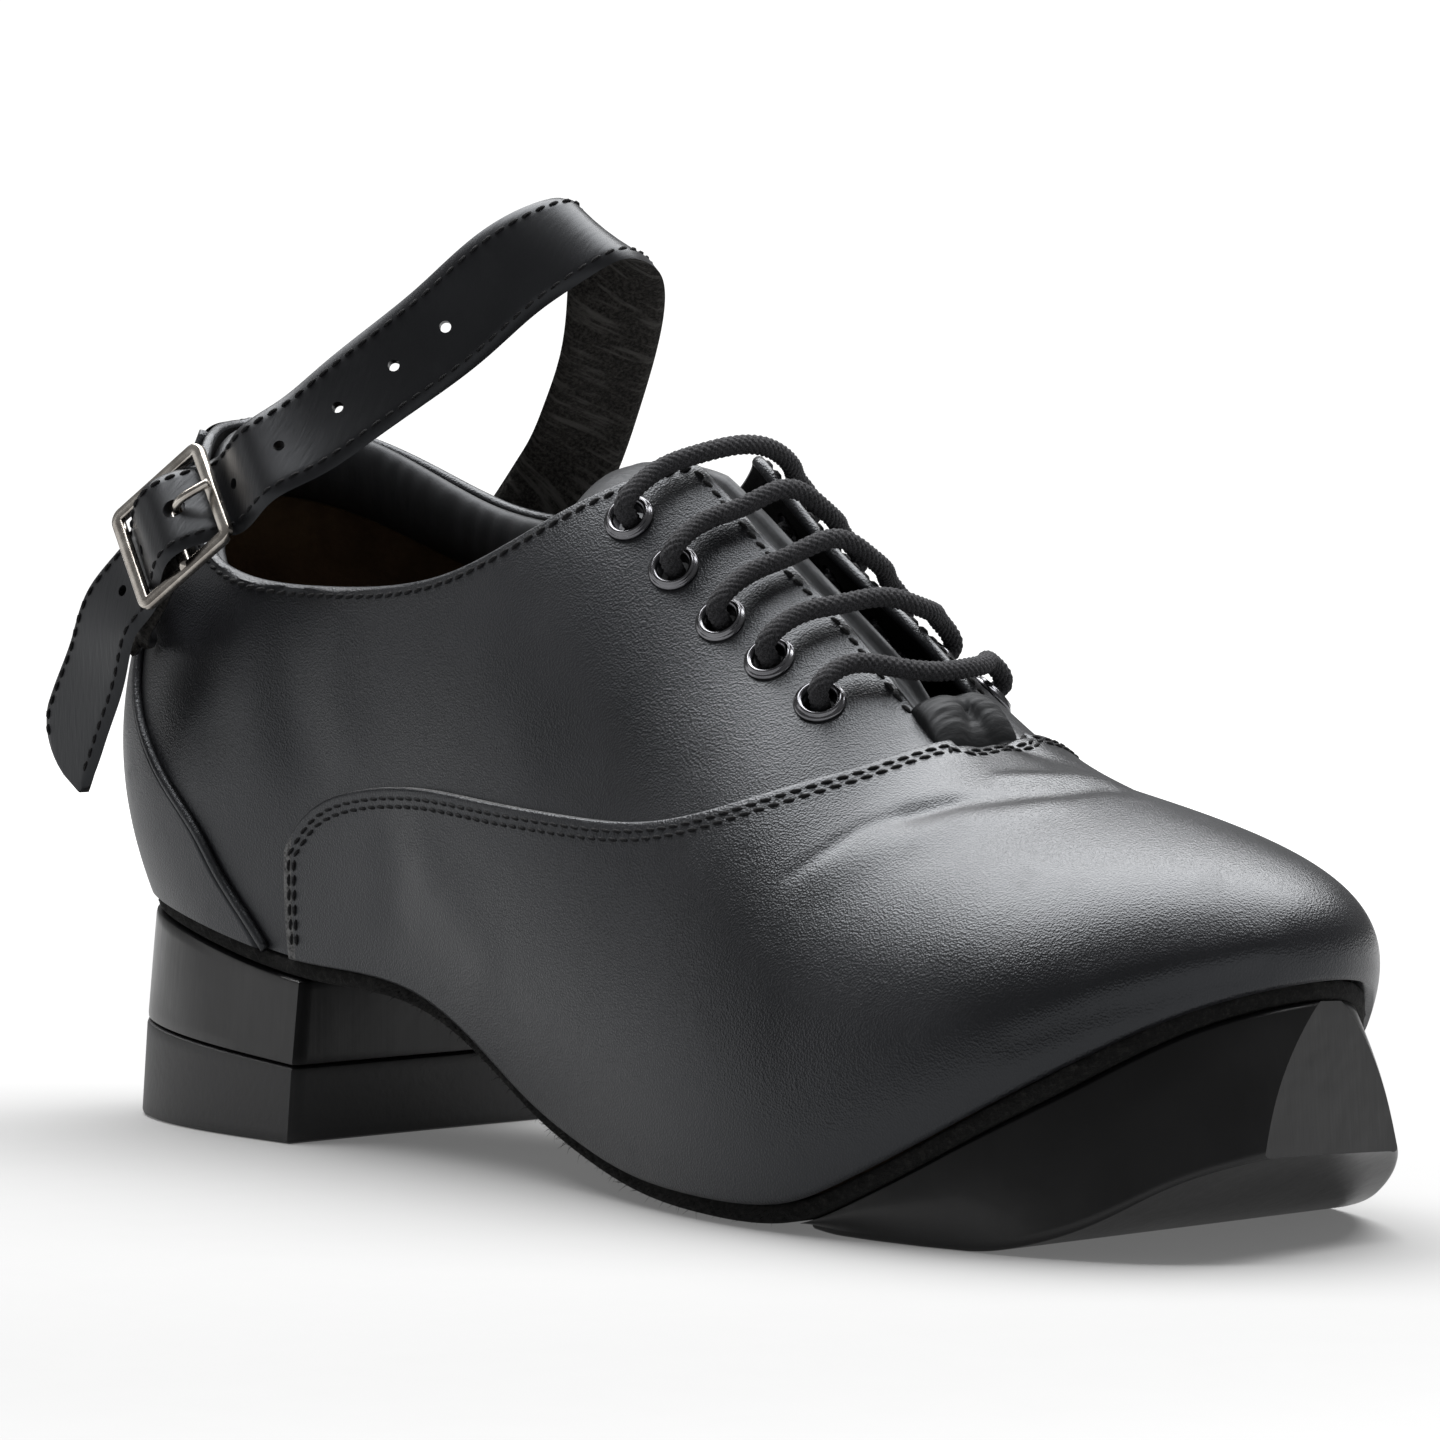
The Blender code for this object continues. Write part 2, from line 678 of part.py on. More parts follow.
def make_collar_pad():
    turn = np.concatenate([np.linspace(0.79, 0.99, 14), np.linspace(0.0, 0.115, 9)])
    edge = opening_climb(turn)
    top = rib(turn, edge)
    normal = outward(turn, edge)
    down = rib(turn, edge - 0.01) - top
    down /= np.linalg.norm(down, axis=1, keepdims=True)
    swell = np.sin(np.linspace(0.0, math.pi, len(turn))) ** 0.4
    swell = np.maximum(swell, 0.25)[:, None]
    rings = []
    for k in range(len(turn)):
        ring = []
        for step in range(PAD_SIDES):
            angle = 2 * math.pi * (step + 0.5) / PAD_SIDES
            deep = PAD_DEEP + PAD_TALL * swell[k] * math.cos(angle)
            inward = WALL + OVERLAY_SEAT + 2 * GAP + PAD_THICK * swell[k] * (1.0 + math.sin(angle))
            ring.append(top[k] + down[k] * deep - normal[k] * inward)
        rings.append(ring)
    loft("collar_pad", rings, lining)


def make_tongue():
    top = []
    for x, z, half, bulge in TONGUE:
        row = []
        for share in TONGUE_ACROSS:
            y = share * half
            lift = bulge if abs(share) < BULGE_SHARE else 0.0
            crown = TONGUE_CROWN if y < 0 else TONGUE_CROWN_INNER
            row.append((x, SLOT_Y + y, z - crown * y * y + lift))
        top.append(row)
    top = np.array(top)
    low = top.copy()
    bulges = np.array([row[3] for row in TONGUE])
    low[..., 2] -= TONGUE_DROP + bulges[:, None] * (np.abs(TONGUE_ACROSS) < BULGE_SHARE)
    sheet("tongue", top, low, lining)


def sole_ring(turn, inset, depth):
    x, y = foot(turn, inset)
    return np.stack([x, y, FOOT_Z(x) - depth], -1)


def make_outsole():
    turn = turns(SOLE_COLUMNS)
    rings = [
        sole_ring(turn, 0.4, GAP),
        sole_ring(turn, 0.0, 0.9),
        sole_ring(turn, 0.0, SOLE_THICK - 0.6),
        sole_ring(turn, 0.6, SOLE_THICK),
    ]
    loft("outsole", rings, sole_leather)


def make_insole():
    turn = turns(INSOLE_COLUMNS)
    rings = [sole_ring(turn, INSOLE_INSET, 0.0), sole_ring(turn, INSOLE_INSET, -INSOLE_THICK)]
    loft("insole", rings, board)


def make_heel():
    inner = turn_at_x(HEEL_BREAST_X, 1)
    outer = turn_at_x(HEEL_BREAST_X, -1)
    turn = np.concatenate([[inner - 1.0], turns(HEEL_COLUMNS, inner - 1.0, outer), [outer]]) % 1.0

    def ring(share, z):
        x, y = foot(turn, -0.4 - HEEL_SPREAD * share)
        x = np.minimum(x, HEEL_BREAST_X)
        top = FOOT_Z(x) - SOLE_THICK - GAP
        seam = LIFT_FRONT + (HEEL_BREAST_X - x) / 60.0 * (LIFT_BACK - LIFT_FRONT)
        level = {"top": top, "seam": seam, "under": seam - GAP, "edge": 0.8 + 0 * x, "floor": 0 * x}[z]
        return np.stack([x, y, level], -1)

    loft("heel_block", [ring(0.0, "top"), ring(0.6, "seam")], resin)
    loft("heel_lift", [ring(0.62, "under"), ring(1.0, "edge"), ring(0.7, "floor")], satin_resin)


def make_toe_tip():
    top = []
    low = []
    for top_x, top_y, low_x, low_y, low_z in TIP:
        top.append((top_x, top_y, FOOT_Z(top_x) - SOLE_THICK - GAP))
        low.append((low_x, low_y, low_z))
    loft("toe_tip", [top, low], resin)


def make_eyelets():
    for label, side in (("outer", -1), ("inner", 1)):
        for number, x in enumerate(EYELET_X):
            centre, axis = drape(x, side * EYELET_Y)
            across = np.cross(axis, (1.0, 0.0, 0.0))
            across /= np.linalg.norm(across)
            other = np.cross(axis, across)
            profile = [
                (EYELET_HOLE_R, -WALL - 0.5),
                (EYELET_BARREL_R, -WALL - 0.5),
                (EYELET_BARREL_R, 0.5),
                (EYELET_OUTER_R, 0.5),
                (EYELET_OUTER_R - 0.4, 1.1),
                (EYELET_HOLE_R + 0.3, 1.2),
            ]
            rings = []
            for radius, rise in profile:
                ring = []
                for step in range(EYELET_SIDES):
                    angle = 2 * math.pi * step / EYELET_SIDES
                    round_to = across * math.cos(angle) + other * math.sin(angle)
                    ring.append(centre + axis * rise + round_to * radius)
                rings.append(ring)
            loft(f"eyelet_{label}_{number + 1}", rings, gunmetal, tube=True)


def through(points, spacing):
    """Evenly spaced points on a smooth curve through the given ones."""
    points = np.asarray(points, float)
    run = np.concatenate([[0], np.cumsum(np.linalg.norm(np.diff(points, axis=0), axis=1))])
    rows = [(run[i], *points[i]) for i in range(len(points))]
    count = max(int(round(run[-1] / spacing)), 2)
    at = np.linspace(0, run[-1], count + 1)
    return np.stack([spline(rows, column)(at) for column in range(1, points.shape[1] + 1)], -1)


def tube(name, points, radius, finish):
    curve = bpy.data.curves.new(name, "CURVE")
    curve.dimensions = "3D"
    curve.bevel_depth = radius * MM
    curve.bevel_resolution = 1
    curve.use_fill_caps = True
    curve.render_resolution_u = 0
    path = curve.splines.new("POLY")
    path.points.add(len(points) - 1)
    for i, point in enumerate(points):
        path.points[i].co = (*(float(value) * MM for value in point), 1.0)
    curve.materials.append(finish)
    thing = bpy.data.objects.new(name, curve)
    bpy.context.scene.collection.objects.link(thing)
    return thing


def make_lace():
    """One cord: over the instep in five bars, down an eyelet, under the facing and up the next."""
    deep = WALL + GAP + LACE_R + 0.4
    route = []
    for number, x in enumerate(EYELET_X):
        bar = [(x + forward, y, height(x + forward, y) + lift) for y, forward, lift in LACE_BAR]
        for side in (-1, 1):
            centre, axis = drape(x, side * EYELET_Y)
            ends = [centre + axis * rise for rise in (-3.0, -1.2, 0.8, 2.4)]
            bar = ends + bar if side < 0 else bar + ends[::-1]
        if number % 2 == 1:
            bar.reverse()
        route += bar
        if number + 1 < len(EYELET_X):
            side = 1 if number % 2 == 0 else -1
            centre, axis = drape((x + EYELET_X[number + 1]) / 2, side * EYELET_Y)
            route.append(centre - axis * deep)
    tube("lace", through(route, LACE_STEP), LACE_R, cotton)


def band(points, width, thick):
    """Rings of a flat strap along rows of centre and across vector."""
    centre = points[:, :3]
    along = np.gradient(centre, axis=0)
    along /= np.linalg.norm(along, axis=1, keepdims=True)
    across = points[:, 3:6]
    across = across - along * np.sum(across * along, axis=1, keepdims=True)
    across /= np.linalg.norm(across, axis=1, keepdims=True)
    face = np.cross(along, across)
    width = np.broadcast_to(width, len(points))[:, None]
    rings = []
    for a, f in ((-0.5, -0.5), (0.5, -0.5), (0.5, 0.5), (-0.5, 0.5)):
        rings.append(centre + across * width * a + face * thick * f)
    return [np.array(ring) for ring in zip(*rings)], centre, face


def buckle_frame_axes():
    along = np.array(BUCKLE_ALONG)
    along /= np.linalg.norm(along)
    across = np.array(BUCKLE_ACROSS)
    across -= along * (across @ along)
    across /= np.linalg.norm(across)
    return along, across, np.cross(across, along)


def strap_rows():
    along, across, face = buckle_frame_axes()
    rows = on_wall(STRAP_FOOT, 1, GAP + STRAP_THICK / 2) + STRAP
    reach = BUCKLE_LONG / 2 - BUCKLE_BAR / 2
    for share, lift in ((1.0, -1.0), (0.5, 0.3), (0.0, 1.0), (-0.5, 0.3), (-1.0, -1.0)):
        point = np.array(BUCKLE_AT) + along * reach * share + face * WEAVE * lift
        rows.append((*point, *across))
    return rows + STRAP_END


def make_strap():
    points = through(strap_rows(), STRAP_STEP)
    width = np.full(len(points), STRAP_WIDTH)
    width[-3:] = (STRAP_WIDTH * 0.98, STRAP_WIDTH * 0.72, STRAP_WIDTH * 0.3)
    rings, centre, face = band(points, width, STRAP_THICK)
    strap = loft("ankle_strap", rings, leather)
    run = np.concatenate([[0], np.cumsum(np.linalg.norm(np.diff(centre, axis=0), axis=1))])
    along, _, outside = buckle_frame_axes()
    pierced = np.array(BUCKLE_AT) + along * PRONG_HOLE
    start = run[np.argmin(np.linalg.norm(centre - pierced, axis=1))]
    places = []
    for count in HOLE_COUNTS:
        at = start - count * HOLE_PITCH
        spot = [np.interp(at, run, centre[:, axis]) for axis in range(3)]
        places.append((spot, face[int(np.argmin(abs(run - at)))]))
    punch(strap, "strap_punch", places, STRAP_HOLE_R, 3.0)
    punch(strap, "prong_punch", [(pierced, outside)], PRONG_HOLE_R, 6.0)


def make_anchor():
    along, across, face = buckle_frame_axes()
    rows = on_wall(ANCHOR_FOOT, -1, 2 * GAP + OVERLAY_THICK + ANCHOR_THICK / 2)
    for run, out in ANCHOR_RISE:
        rows.append((*(np.array(BUCKLE_AT) + along * run + face * out), *across))
    points = through(rows, 3.0)
    rings, _, _ = band(points, ANCHOR_WIDTH, ANCHOR_THICK)
    loft("anchor_strap", rings, leather)


def make_buckle():
    along, across, face = buckle_frame_axes()
    centre = np.array(BUCKLE_AT)
    frame = Matrix((along, across, face)).transposed().to_4x4()
    frame.translation = Vector(centre * MM)

    def block(name, size, offset):
        made = bmesh.new()
        bmesh.ops.create_cube(made, size=1.0)
        for vert in made.verts:
            vert.co = Vector([vert.co[i] * size[i] * MM + offset[i] * MM for i in range(3)])
        mesh = bpy.data.meshes.new(name)
        made.to_mesh(mesh)
        made.free()
        thing = bpy.data.objects.new(name, mesh)
        thing.matrix_world = frame
        bpy.context.scene.collection.objects.link(thing)
        return thing

    buckle = block("buckle_frame", (BUCKLE_LONG, BUCKLE_WIDE, BUCKLE_THICK), (0, 0, 0))
    buckle.data.materials.append(nickel)
    window = (BUCKLE_LONG - 3 * BUCKLE_BAR) / 2
    for number, sign in enumerate((-1, 1)):
        size = (window, BUCKLE_WIDE - 2 * BUCKLE_BAR, 4 * BUCKLE_THICK)
        cutter = block(f"buckle_window_{number + 1}", size, (sign * (window + BUCKLE_BAR) / 2, 0, 0))
        cutter.hide_render = True
        cutter.display_type = "WIRE"
        cut = buckle.modifiers.new("window", "BOOLEAN")
        cut.object = cutter
        cut.operation = "DIFFERENCE"
        cut.solver = "EXACT"
    edges = buckle.modifiers.new("edges", "BEVEL")
    edges.width = 0.5 * MM
    edges.segments = 2
    edges.limit_method = "ANGLE"


def make_prong():
    along, across, face = buckle_frame_axes()
    centre = np.array(BUCKLE_AT)
    rest = BUCKLE_THICK / 2 + GAP + PRONG_R
    route = [(2.7, -0.5), (3.2, 1.2), (3.8, 2.6), (5.2, 3.3), (7.6, 3.0), (10.8, rest)]
    points = [centre + along * s + face * n for s, n in route]
    tube("buckle_prong", through(points, 1.2), PRONG_R, nickel)


make_upper()
make_vamp_panel()
make_counter()
make_collar_pad()
make_tongue()
make_insole()
make_outsole()
make_heel()
make_toe_tip()
make_eyelets()
make_lace()
make_strap()
make_anchor()
make_buckle()
make_prong()
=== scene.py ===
import math

import bmesh
import bpy
import numpy as np
from mathutils import Matrix, Vector
from mathutils.bvhtree import BVHTree


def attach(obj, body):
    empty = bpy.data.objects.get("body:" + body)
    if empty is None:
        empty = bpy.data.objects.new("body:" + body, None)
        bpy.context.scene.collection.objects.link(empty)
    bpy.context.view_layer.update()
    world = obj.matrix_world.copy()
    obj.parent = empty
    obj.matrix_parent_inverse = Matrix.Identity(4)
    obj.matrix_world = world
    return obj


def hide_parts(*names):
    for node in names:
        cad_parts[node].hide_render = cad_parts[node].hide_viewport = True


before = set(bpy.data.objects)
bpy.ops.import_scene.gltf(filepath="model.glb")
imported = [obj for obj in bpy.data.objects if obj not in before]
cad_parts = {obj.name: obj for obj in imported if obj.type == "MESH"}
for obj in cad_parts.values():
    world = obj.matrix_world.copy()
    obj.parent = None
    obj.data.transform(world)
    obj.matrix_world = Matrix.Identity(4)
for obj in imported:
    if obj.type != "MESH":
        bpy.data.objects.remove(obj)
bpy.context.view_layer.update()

# Quarters and facings: the body of the shoe, two pieces of 2 mm black cowhide closed at the heel and
# pulled over a last. Their topline is folded over and stitched once, and the facings are pierced for
# ten eyelets. The inside carries a brown split lining with a ragged upper edge.
MM = 0.001
WALL = 2.0
# Ribs of the last, from the heel's back along the outer side to the toe and home on the inner side:
# turn, foot x y, top x y z, flare, rise, lean, drop
RIBS = [
    (0.000, -29, 0, -21, 2, 125, 15, 34, 9, 26), (0.030, -26.5, -10.5, -17, -9, 123, 15, 34, 8, 26),
    (0.065, -19, -20.5, -6, -17.5, 117, 13, 34, 6, 26), (0.110, 0, -27.5, 10, -22, 112, 8, 34, 5, 28),
    (0.170, 30, -29, 38, -21, 112, 4, 30, 8, 28), (0.220, 60, -30, 66, -17, 115, 4, 26, 16, 26),
    (0.270, 90, -33.5, 92, -7, 113.8, 7, 32, 24, 13.5),
    (0.320, 118, -39.5, 112, -0.5, 103.6, 8.5, 34.5, 24, 13),
    (0.365, 142, -44, 131, 0, 89.8, 8, 33.5, 25, 11.5), (0.405, 165, -44, 145, 0, 76, 7, 31, 24, 9),
    (0.440, 189, -38.5, 149, 0, 71.5, 8, 25.5, 22, 9), (0.470, 209, -26, 149.5, 0.3, 70, 8, 22, 19, 9),
    (0.500, 220.5, 0, 149.5, 0.6, 70, 8, 20, 18, 9), (0.530, 212, 20, 149.5, 0.9, 70, 8, 22, 19, 9),
    (0.560, 195, 33, 149, 1, 71.5, 8, 25.5, 22, 9), (0.595, 172, 41, 145, 1, 76, 7, 31, 24, 10),
    (0.635, 147, 44, 131, 1, 89.4, 7, 33, 25, 15), (0.680, 120, 38, 112, 1.5, 103.2, 8, 34, 24, 18),
    (0.730, 90, 29, 92, 8, 114.6, 9, 36, 22, 18), (0.780, 60, 26, 66, 20, 118, 8, 34, 13, 28),
    (0.830, 30, 26.5, 38, 27, 117, 8, 34, 6, 28), (0.890, 0, 26.5, 10, 25.5, 120, 8.5, 36, 4, 26),
    (0.935, -18.5, 19.5, -6, 20.5, 123, 11, 35, 6, 26), (0.970, -26.5, 9.5, -17, 12, 125, 14, 34, 8, 26),
]
# Side view of the lower edge: x, z
FOOT_PROFILE = [
    (-32, 39.6), (-20, 38), (0, 34.6), (30, 29.6), (60, 26.8), (75, 21), (90, 13.6), (105, 8.6), (121, 5.3),
    (140, 4), (153, 4.1), (162, 5.6), (170, 9), (180, 14.2), (192, 21.2), (205, 29.3), (215, 36),
    (226, 41.5),
]
# Topline height over x: outer side, inner side
COLLAR = [
    (-30, 116.5, 116.5), (-20, 113.5, 115.5), (-12, 104, 113), (-4, 96, 109.5), (5, 92, 105.5),
    (15, 90.2, 102), (30, 89.6, 100), (50, 90.6, 99.5), (66, 94.4, 101), (80, 101.5, 106), (90, 107.2, 110),
    (97, 110.4, 112), (105, 114, 115), (112, 118, 118),
]
SLOT_HALF = 7.0
SLOT_Y = 0.4
SLOT_END_X = 154.6
CORNER = 2.5


def spline(rows, column, period=None):
    """Smooth curve of one table column over the first one, closed if a period is given."""
    x, y = np.array([(row[0], row[column]) for row in rows], float).T
    if period:
        x = np.concatenate([x - period, x, x + period])
        y = np.concatenate([y, y, y])
    step = np.diff(x)
    count = len(x)
    inner = np.arange(1, count - 1)
    lhs = np.eye(count)
    lhs[inner, inner - 1] = step[:-1]
    lhs[inner, inner] = 2 * (step[:-1] + step[1:])
    lhs[inner, inner + 1] = step[1:]
    rhs = np.zeros(count)
    rhs[inner] = 6 * np.diff(np.diff(y) / step)
    bend = np.linalg.solve(lhs, rhs)

    def value(at):
        at = np.clip(np.asarray(at, float), x[0], x[-1])
        i = np.clip(np.searchsorted(x, at) - 1, 0, count - 2)
        left = at - x[i]
        right = x[i + 1] - at
        return (
            (bend[i] * right**3 + bend[i + 1] * left**3) / (6 * step[i])
            + (y[i] / step[i] - bend[i] * step[i] / 6) * right
            + (y[i + 1] / step[i] - bend[i + 1] * step[i] / 6) * left
        )

    return value


FOOT_X, FOOT_Y, TOP_X, TOP_Y, TOP_Z, FLARE, RISE, LEAN, DROP = (
    spline(RIBS, column, 1.0) for column in range(1, 10)
)
FOOT_Z = spline(FOOT_PROFILE, 1)
COLLAR_OUTER = spline(COLLAR, 1)
COLLAR_INNER = spline(COLLAR, 2)
UP = np.array([0.0, 0.0, 1.0])


def foot(turn, inset=0.0):
    """Lower edge of the upper, or a line inside it by inset."""
    dx, dy = (value(turn + 1e-4) - value(turn - 1e-4) for value in (FOOT_X, FOOT_Y))
    length = np.hypot(dx, dy)
    return FOOT_X(turn) - dy / length * inset, FOOT_Y(turn) + dx / length * inset


def rib(turn, climb):
    """Point of the lasted surface: turn goes round the shoe, climb from the sole to the guide line."""
    turn, climb = np.broadcast_arrays(np.asarray(turn, float), np.asarray(climb, float))
    low = np.stack([*foot(turn), FOOT_Z(FOOT_X(turn))], -1)
    top = np.stack([TOP_X(turn), TOP_Y(turn), TOP_Z(turn)], -1)
    out = np.stack([*foot(turn, -1.0), low[..., 2]], -1) - low
    flare, rise, lean, drop = (value(turn)[..., None] for value in (FLARE, RISE, LEAN, DROP))
    belly = low + out * flare + UP * rise
    shoulder = top + unit((low - top) * (1, 1, 0)) * lean - UP * drop
    t = climb[..., None]
    s = 1 - t
    return s**3 * low + 3 * s**2 * t * belly + 3 * s * t**2 * shoulder + t**3 * top


def unit(vectors):
    return vectors / np.maximum(np.linalg.norm(vectors, axis=-1, keepdims=True), 1e-9)


def outward(turn, climb):
    """Unit normal of the lasted surface, away from the foot."""
    du = rib(turn + 1e-3, climb) - rib(turn - 1e-3, climb)
    dv = rib(turn, climb + 1e-3) - rib(turn, climb - 1e-3)
    return unit(np.cross(du, dv))


def first_climb(turn, above, start):
    """How far up each rib, from start, above() first turns positive; 1 where it never does."""
    climbs = np.linspace(start, 1.0, 500)
    side = above(rib(turn[:, None], climbs[None, :]), turn[:, None])
    row = np.arange(len(turn))
    i = np.argmax(side > 0, axis=1)
    low, high = side[row, i - 1], side[row, i]
    crossing = climbs[i - 1] + (climbs[1] - climbs[0]) * low / (low - high)
    return np.where(i > 0, crossing, 1.0)


def opening_side(point, turn):
    """Above zero inside the collar opening or the throat slot."""
    x, y, z = point[..., 0], point[..., 1], point[..., 2]
    collar = np.where(turn < 0.5, COLLAR_OUTER(x), COLLAR_INNER(x))
    above = z - np.where(x < 112, collar, 200.0)
    slot = np.minimum(SLOT_HALF - np.abs(y - SLOT_Y), SLOT_END_X - x)
    slot = np.where(x > 80, slot, -50.0)
    near = np.clip(0.5 + 0.5 * (above - slot) / CORNER, 0, 1)
    return slot * (1 - near) + above * near + CORNER * near * (1 - near)


def opening_climb(turn):
    return first_climb(turn, opening_side, 0.35)


def lengths(path):
    """Length along a path up to each of its points."""
    return np.concatenate([[0], np.cumsum(np.linalg.norm(np.diff(path, axis=0), axis=1))])


def turns(count, start=0.0, end=1.0):
    """Places round the shoe, spread by length along the lower edge."""
    fine = np.linspace(start, end, 1501)
    run = lengths(np.stack(foot(fine), -1))
    return np.interp((np.arange(count) + 0.5) / count * run[-1], run, fine)


# Soft creases of the worn leather: a line over the skin in mm, its width, and how far it stands out (+)
# or sinks in (-)
CREASES = [
    ([(150, -36, 51), (153, -32.5, 54), (156.5, -27.5, 58), (161, -23, 60), (165.5, -18, 61.5)], 1.3, -0.55),
    ([(162, -23, 60), (166, -18, 61.5), (171, -13, 62.5), (176, -7, 63), (178, 2, 63)], 2.4, -0.8),
    ([(158, -30, 57), (163, -25, 59), (168, -19, 61), (173, -13.5, 62.3)], 1, -0.28),
    ([(156, -35, 53), (163, -29, 57), (170, -21, 60), (178, -12, 62)], 4, 0.45),
    ([(166, -8, 64.5), (171, -2, 64.6), (173, 6, 63.6)], 2, 0.5),
    ([(10, -26.5, 88), (13, -28, 79), (17, -29, 70), (20, -29, 62)], 7.5, 0.4),
    ([(22, -27.2, 84), (25, -28.6, 74), (29, -29.4, 65)], 6.5, -0.45),
    ([(33, -27, 84), (35, -28.6, 74), (40, -29.6, 66)], 6, 0.45),
    ([(1, -26, 90), (3, -28, 80), (7, -29.4, 66)], 5.5, -0.4),
    ([(56, -32.8, 50), (58, -32.8, 45), (56, -32.5, 40)], 5.5, -0.45),
    ([(64, -33.6, 47), (72, -34.5, 40), (80, -35.5, 33)], 6, 0.4),
    ([(219.5, -10.5, 40.5), (214, -21, 38), (207, -30, 35), (197, -37.5, 30)], 1.8, -0.35),
    ([(220, -9, 44), (214, -21.5, 42), (206, -31, 38.5)], 2.6, 0.3),
    ([(84, -24, 84), (92, -27, 74), (97, -30, 66)], 8, -0.6),
]


def creased(point):
    """How far the creases move each point along its normal."""
    shift = np.zeros(point.shape[:-1])
    for line, width, depth in CREASES:
        nearest = np.full(point.shape[:-1], 1e9)
        for a, b in zip(np.array(line[:-1], float), np.array(line[1:], float)):
            share = np.clip(((point - a) @ (b - a)) / ((b - a) @ (b - a)), 0, 1)
            gap = point - a - share[..., None] * (b - a)
            nearest = np.minimum(nearest, (gap**2).sum(-1))
        shift += depth * np.exp(-nearest / width**2)
    return shift


def on_last(turn, climb, lift):
    """Point on the creased leather, lifted off it."""
    point = rib(turn, climb)
    return point + outward(turn, climb) * (creased(point) + lift)[..., None]


class Tone:
    """A socket of a finish, so that shader maths reads as sums."""

    def __init__(self, finish, socket):
        self.finish = finish
        self.socket = socket

    def sum(self, operation, first, second):
        return self.finish.node("Math", {"operation": operation}, {0: first, 1: second})

    def __add__(self, other):
        return self.sum("ADD", self, other)

    __radd__ = __add__

    def __mul__(self, other):
        return self.sum("MULTIPLY", self, other)

    __rmul__ = __mul__

    def __sub__(self, other):
        return self.sum("SUBTRACT", self, other)

    def __rsub__(self, other):
        return self.sum("SUBTRACT", other, self)

    def ramp(self, low=0.3, high=0.7):
        """Smooth step from 0 at low to 1 at high."""
        settings = {"interpolation_type": "SMOOTHSTEP"}
        return self.finish.node("MapRange", settings, {0: self, 1: low, 2: high})


class Finish:
    """One node material, built up from calls of node()."""

    def __init__(self, name, sockets):
        self.material = bpy.data.materials.new(name)
        self.material.use_nodes = True
        self.tree = self.material.node_tree
        self.shader = self.tree.nodes["Principled BSDF"]
        self.place = self.node("TexCoord", out="Object")
        self.set(sockets)

    def set(self, sockets):
        for name, value in sockets.items():
            self.feed(self.shader.inputs[name], value)

    def feed(self, socket, value):
        if isinstance(value, Tone):
            self.tree.links.new(value.socket, socket)
        elif hasattr(socket.default_value, "__len__") and len(socket.default_value) == 4:
            socket.default_value = (*value[:3], 1)
        else:
            socket.default_value = value

    def node(self, kind, settings=None, values=None, out=0):
        made = self.tree.nodes.new("ShaderNode" + kind)
        for name, value in (settings or {}).items():
            setattr(made, name, value)
        for name, value in (values or {}).items():
            self.feed(made.inputs[name], value)
        return Tone(self, made.outputs[out])

    def noise(self, scale, detail=3.0, place=None, rough=0.5):
        values = {"Vector": place or self.place, "Scale": scale, "Detail": detail, "Roughness": rough}
        return self.node("TexNoise", None, values)

    def stretched(self, size, turn=(0, 0, 0)):
        return self.node("Mapping", None, {"Vector": self.place, "Rotation": turn, "Scale": size})

    def mix(self, share, first, second):
        return self.node("Mix", {"data_type": "RGBA"}, {0: share, 6: first, 7: second}, 2)

    def bump(self, height, distance, strength=1.0, below=None):
        values = {"Height": height, "Distance": distance, "Strength": strength}
        if below:
            values["Normal"] = below
        return self.node("Bump", None, values)

    def axis(self, letter):
        return self.node("SeparateXYZ", None, {0: self.place}, out=letter)


def leather(name, colour, rough, grain, specular=0.44):
    """Smooth dyed leather: fine pebbles, a slow change of gloss and a few dull rubbed patches."""
    made = Finish(name, {"Specular IOR Level": specular, "Specular Tint": (0.90, 0.94, 1.0)})
    pebbles = {"Vector": made.place, "Scale": 2900.0, "Randomness": 1.0}
    pebble = made.node("TexVoronoi", {"feature": "F1"}, pebbles, out="Distance")
    pores = made.noise(3800.0, 2.0)
    cloud = made.noise(38.0, 4.0)
    rub = made.noise(130.0, 6.0, rough=0.65)
    soft = made.bump(made.noise(90.0, 2.0), 0.0011, 0.12)
    made.set({
        "Base Color": made.mix(cloud.ramp(0.35, 0.7), colour, tuple(c * 1.7 for c in colour)),
        "Roughness": rough + (cloud - 0.5) * 0.16 + rub.ramp(0.55, 0.75) * 0.07,
        "Normal": made.bump(pebble * grain + pores * (0.35 * grain), 0.00015, 0.50, soft),
    })
    return made


BLACK = (0.0040, 0.0040, 0.0048)
quarter_leather = leather("quarter leather", BLACK, 0.37, 0.8)
split_lining = Finish("split lining", {"Roughness": 0.95, "Specular IOR Level": 0.15})
fuzz = split_lining.noise(900.0, 5.0, rough=0.7)
patch = split_lining.noise(70.0, 4.0)
ragged = split_lining.noise(320.0, 4.0)
lining_top = split_lining.axis("Z") + split_lining.axis("X") * 0.30 - 0.0975 + (ragged - 0.5) * 0.006
brown = split_lining.mix(patch.ramp(), (0.050, 0.032, 0.018), (0.105, 0.070, 0.040))
split_lining.set({
    "Base Color": split_lining.mix(lining_top.ramp(-0.0002, 0.0006), brown, (0.006, 0.006, 0.0065)),
    "Normal": split_lining.bump(fuzz, 0.0006, 0.8),
})


def shown(name, data):
    """A new object in the scene."""
    thing = bpy.data.objects.new(name, data)
    bpy.context.scene.collection.objects.link(thing)
    return thing


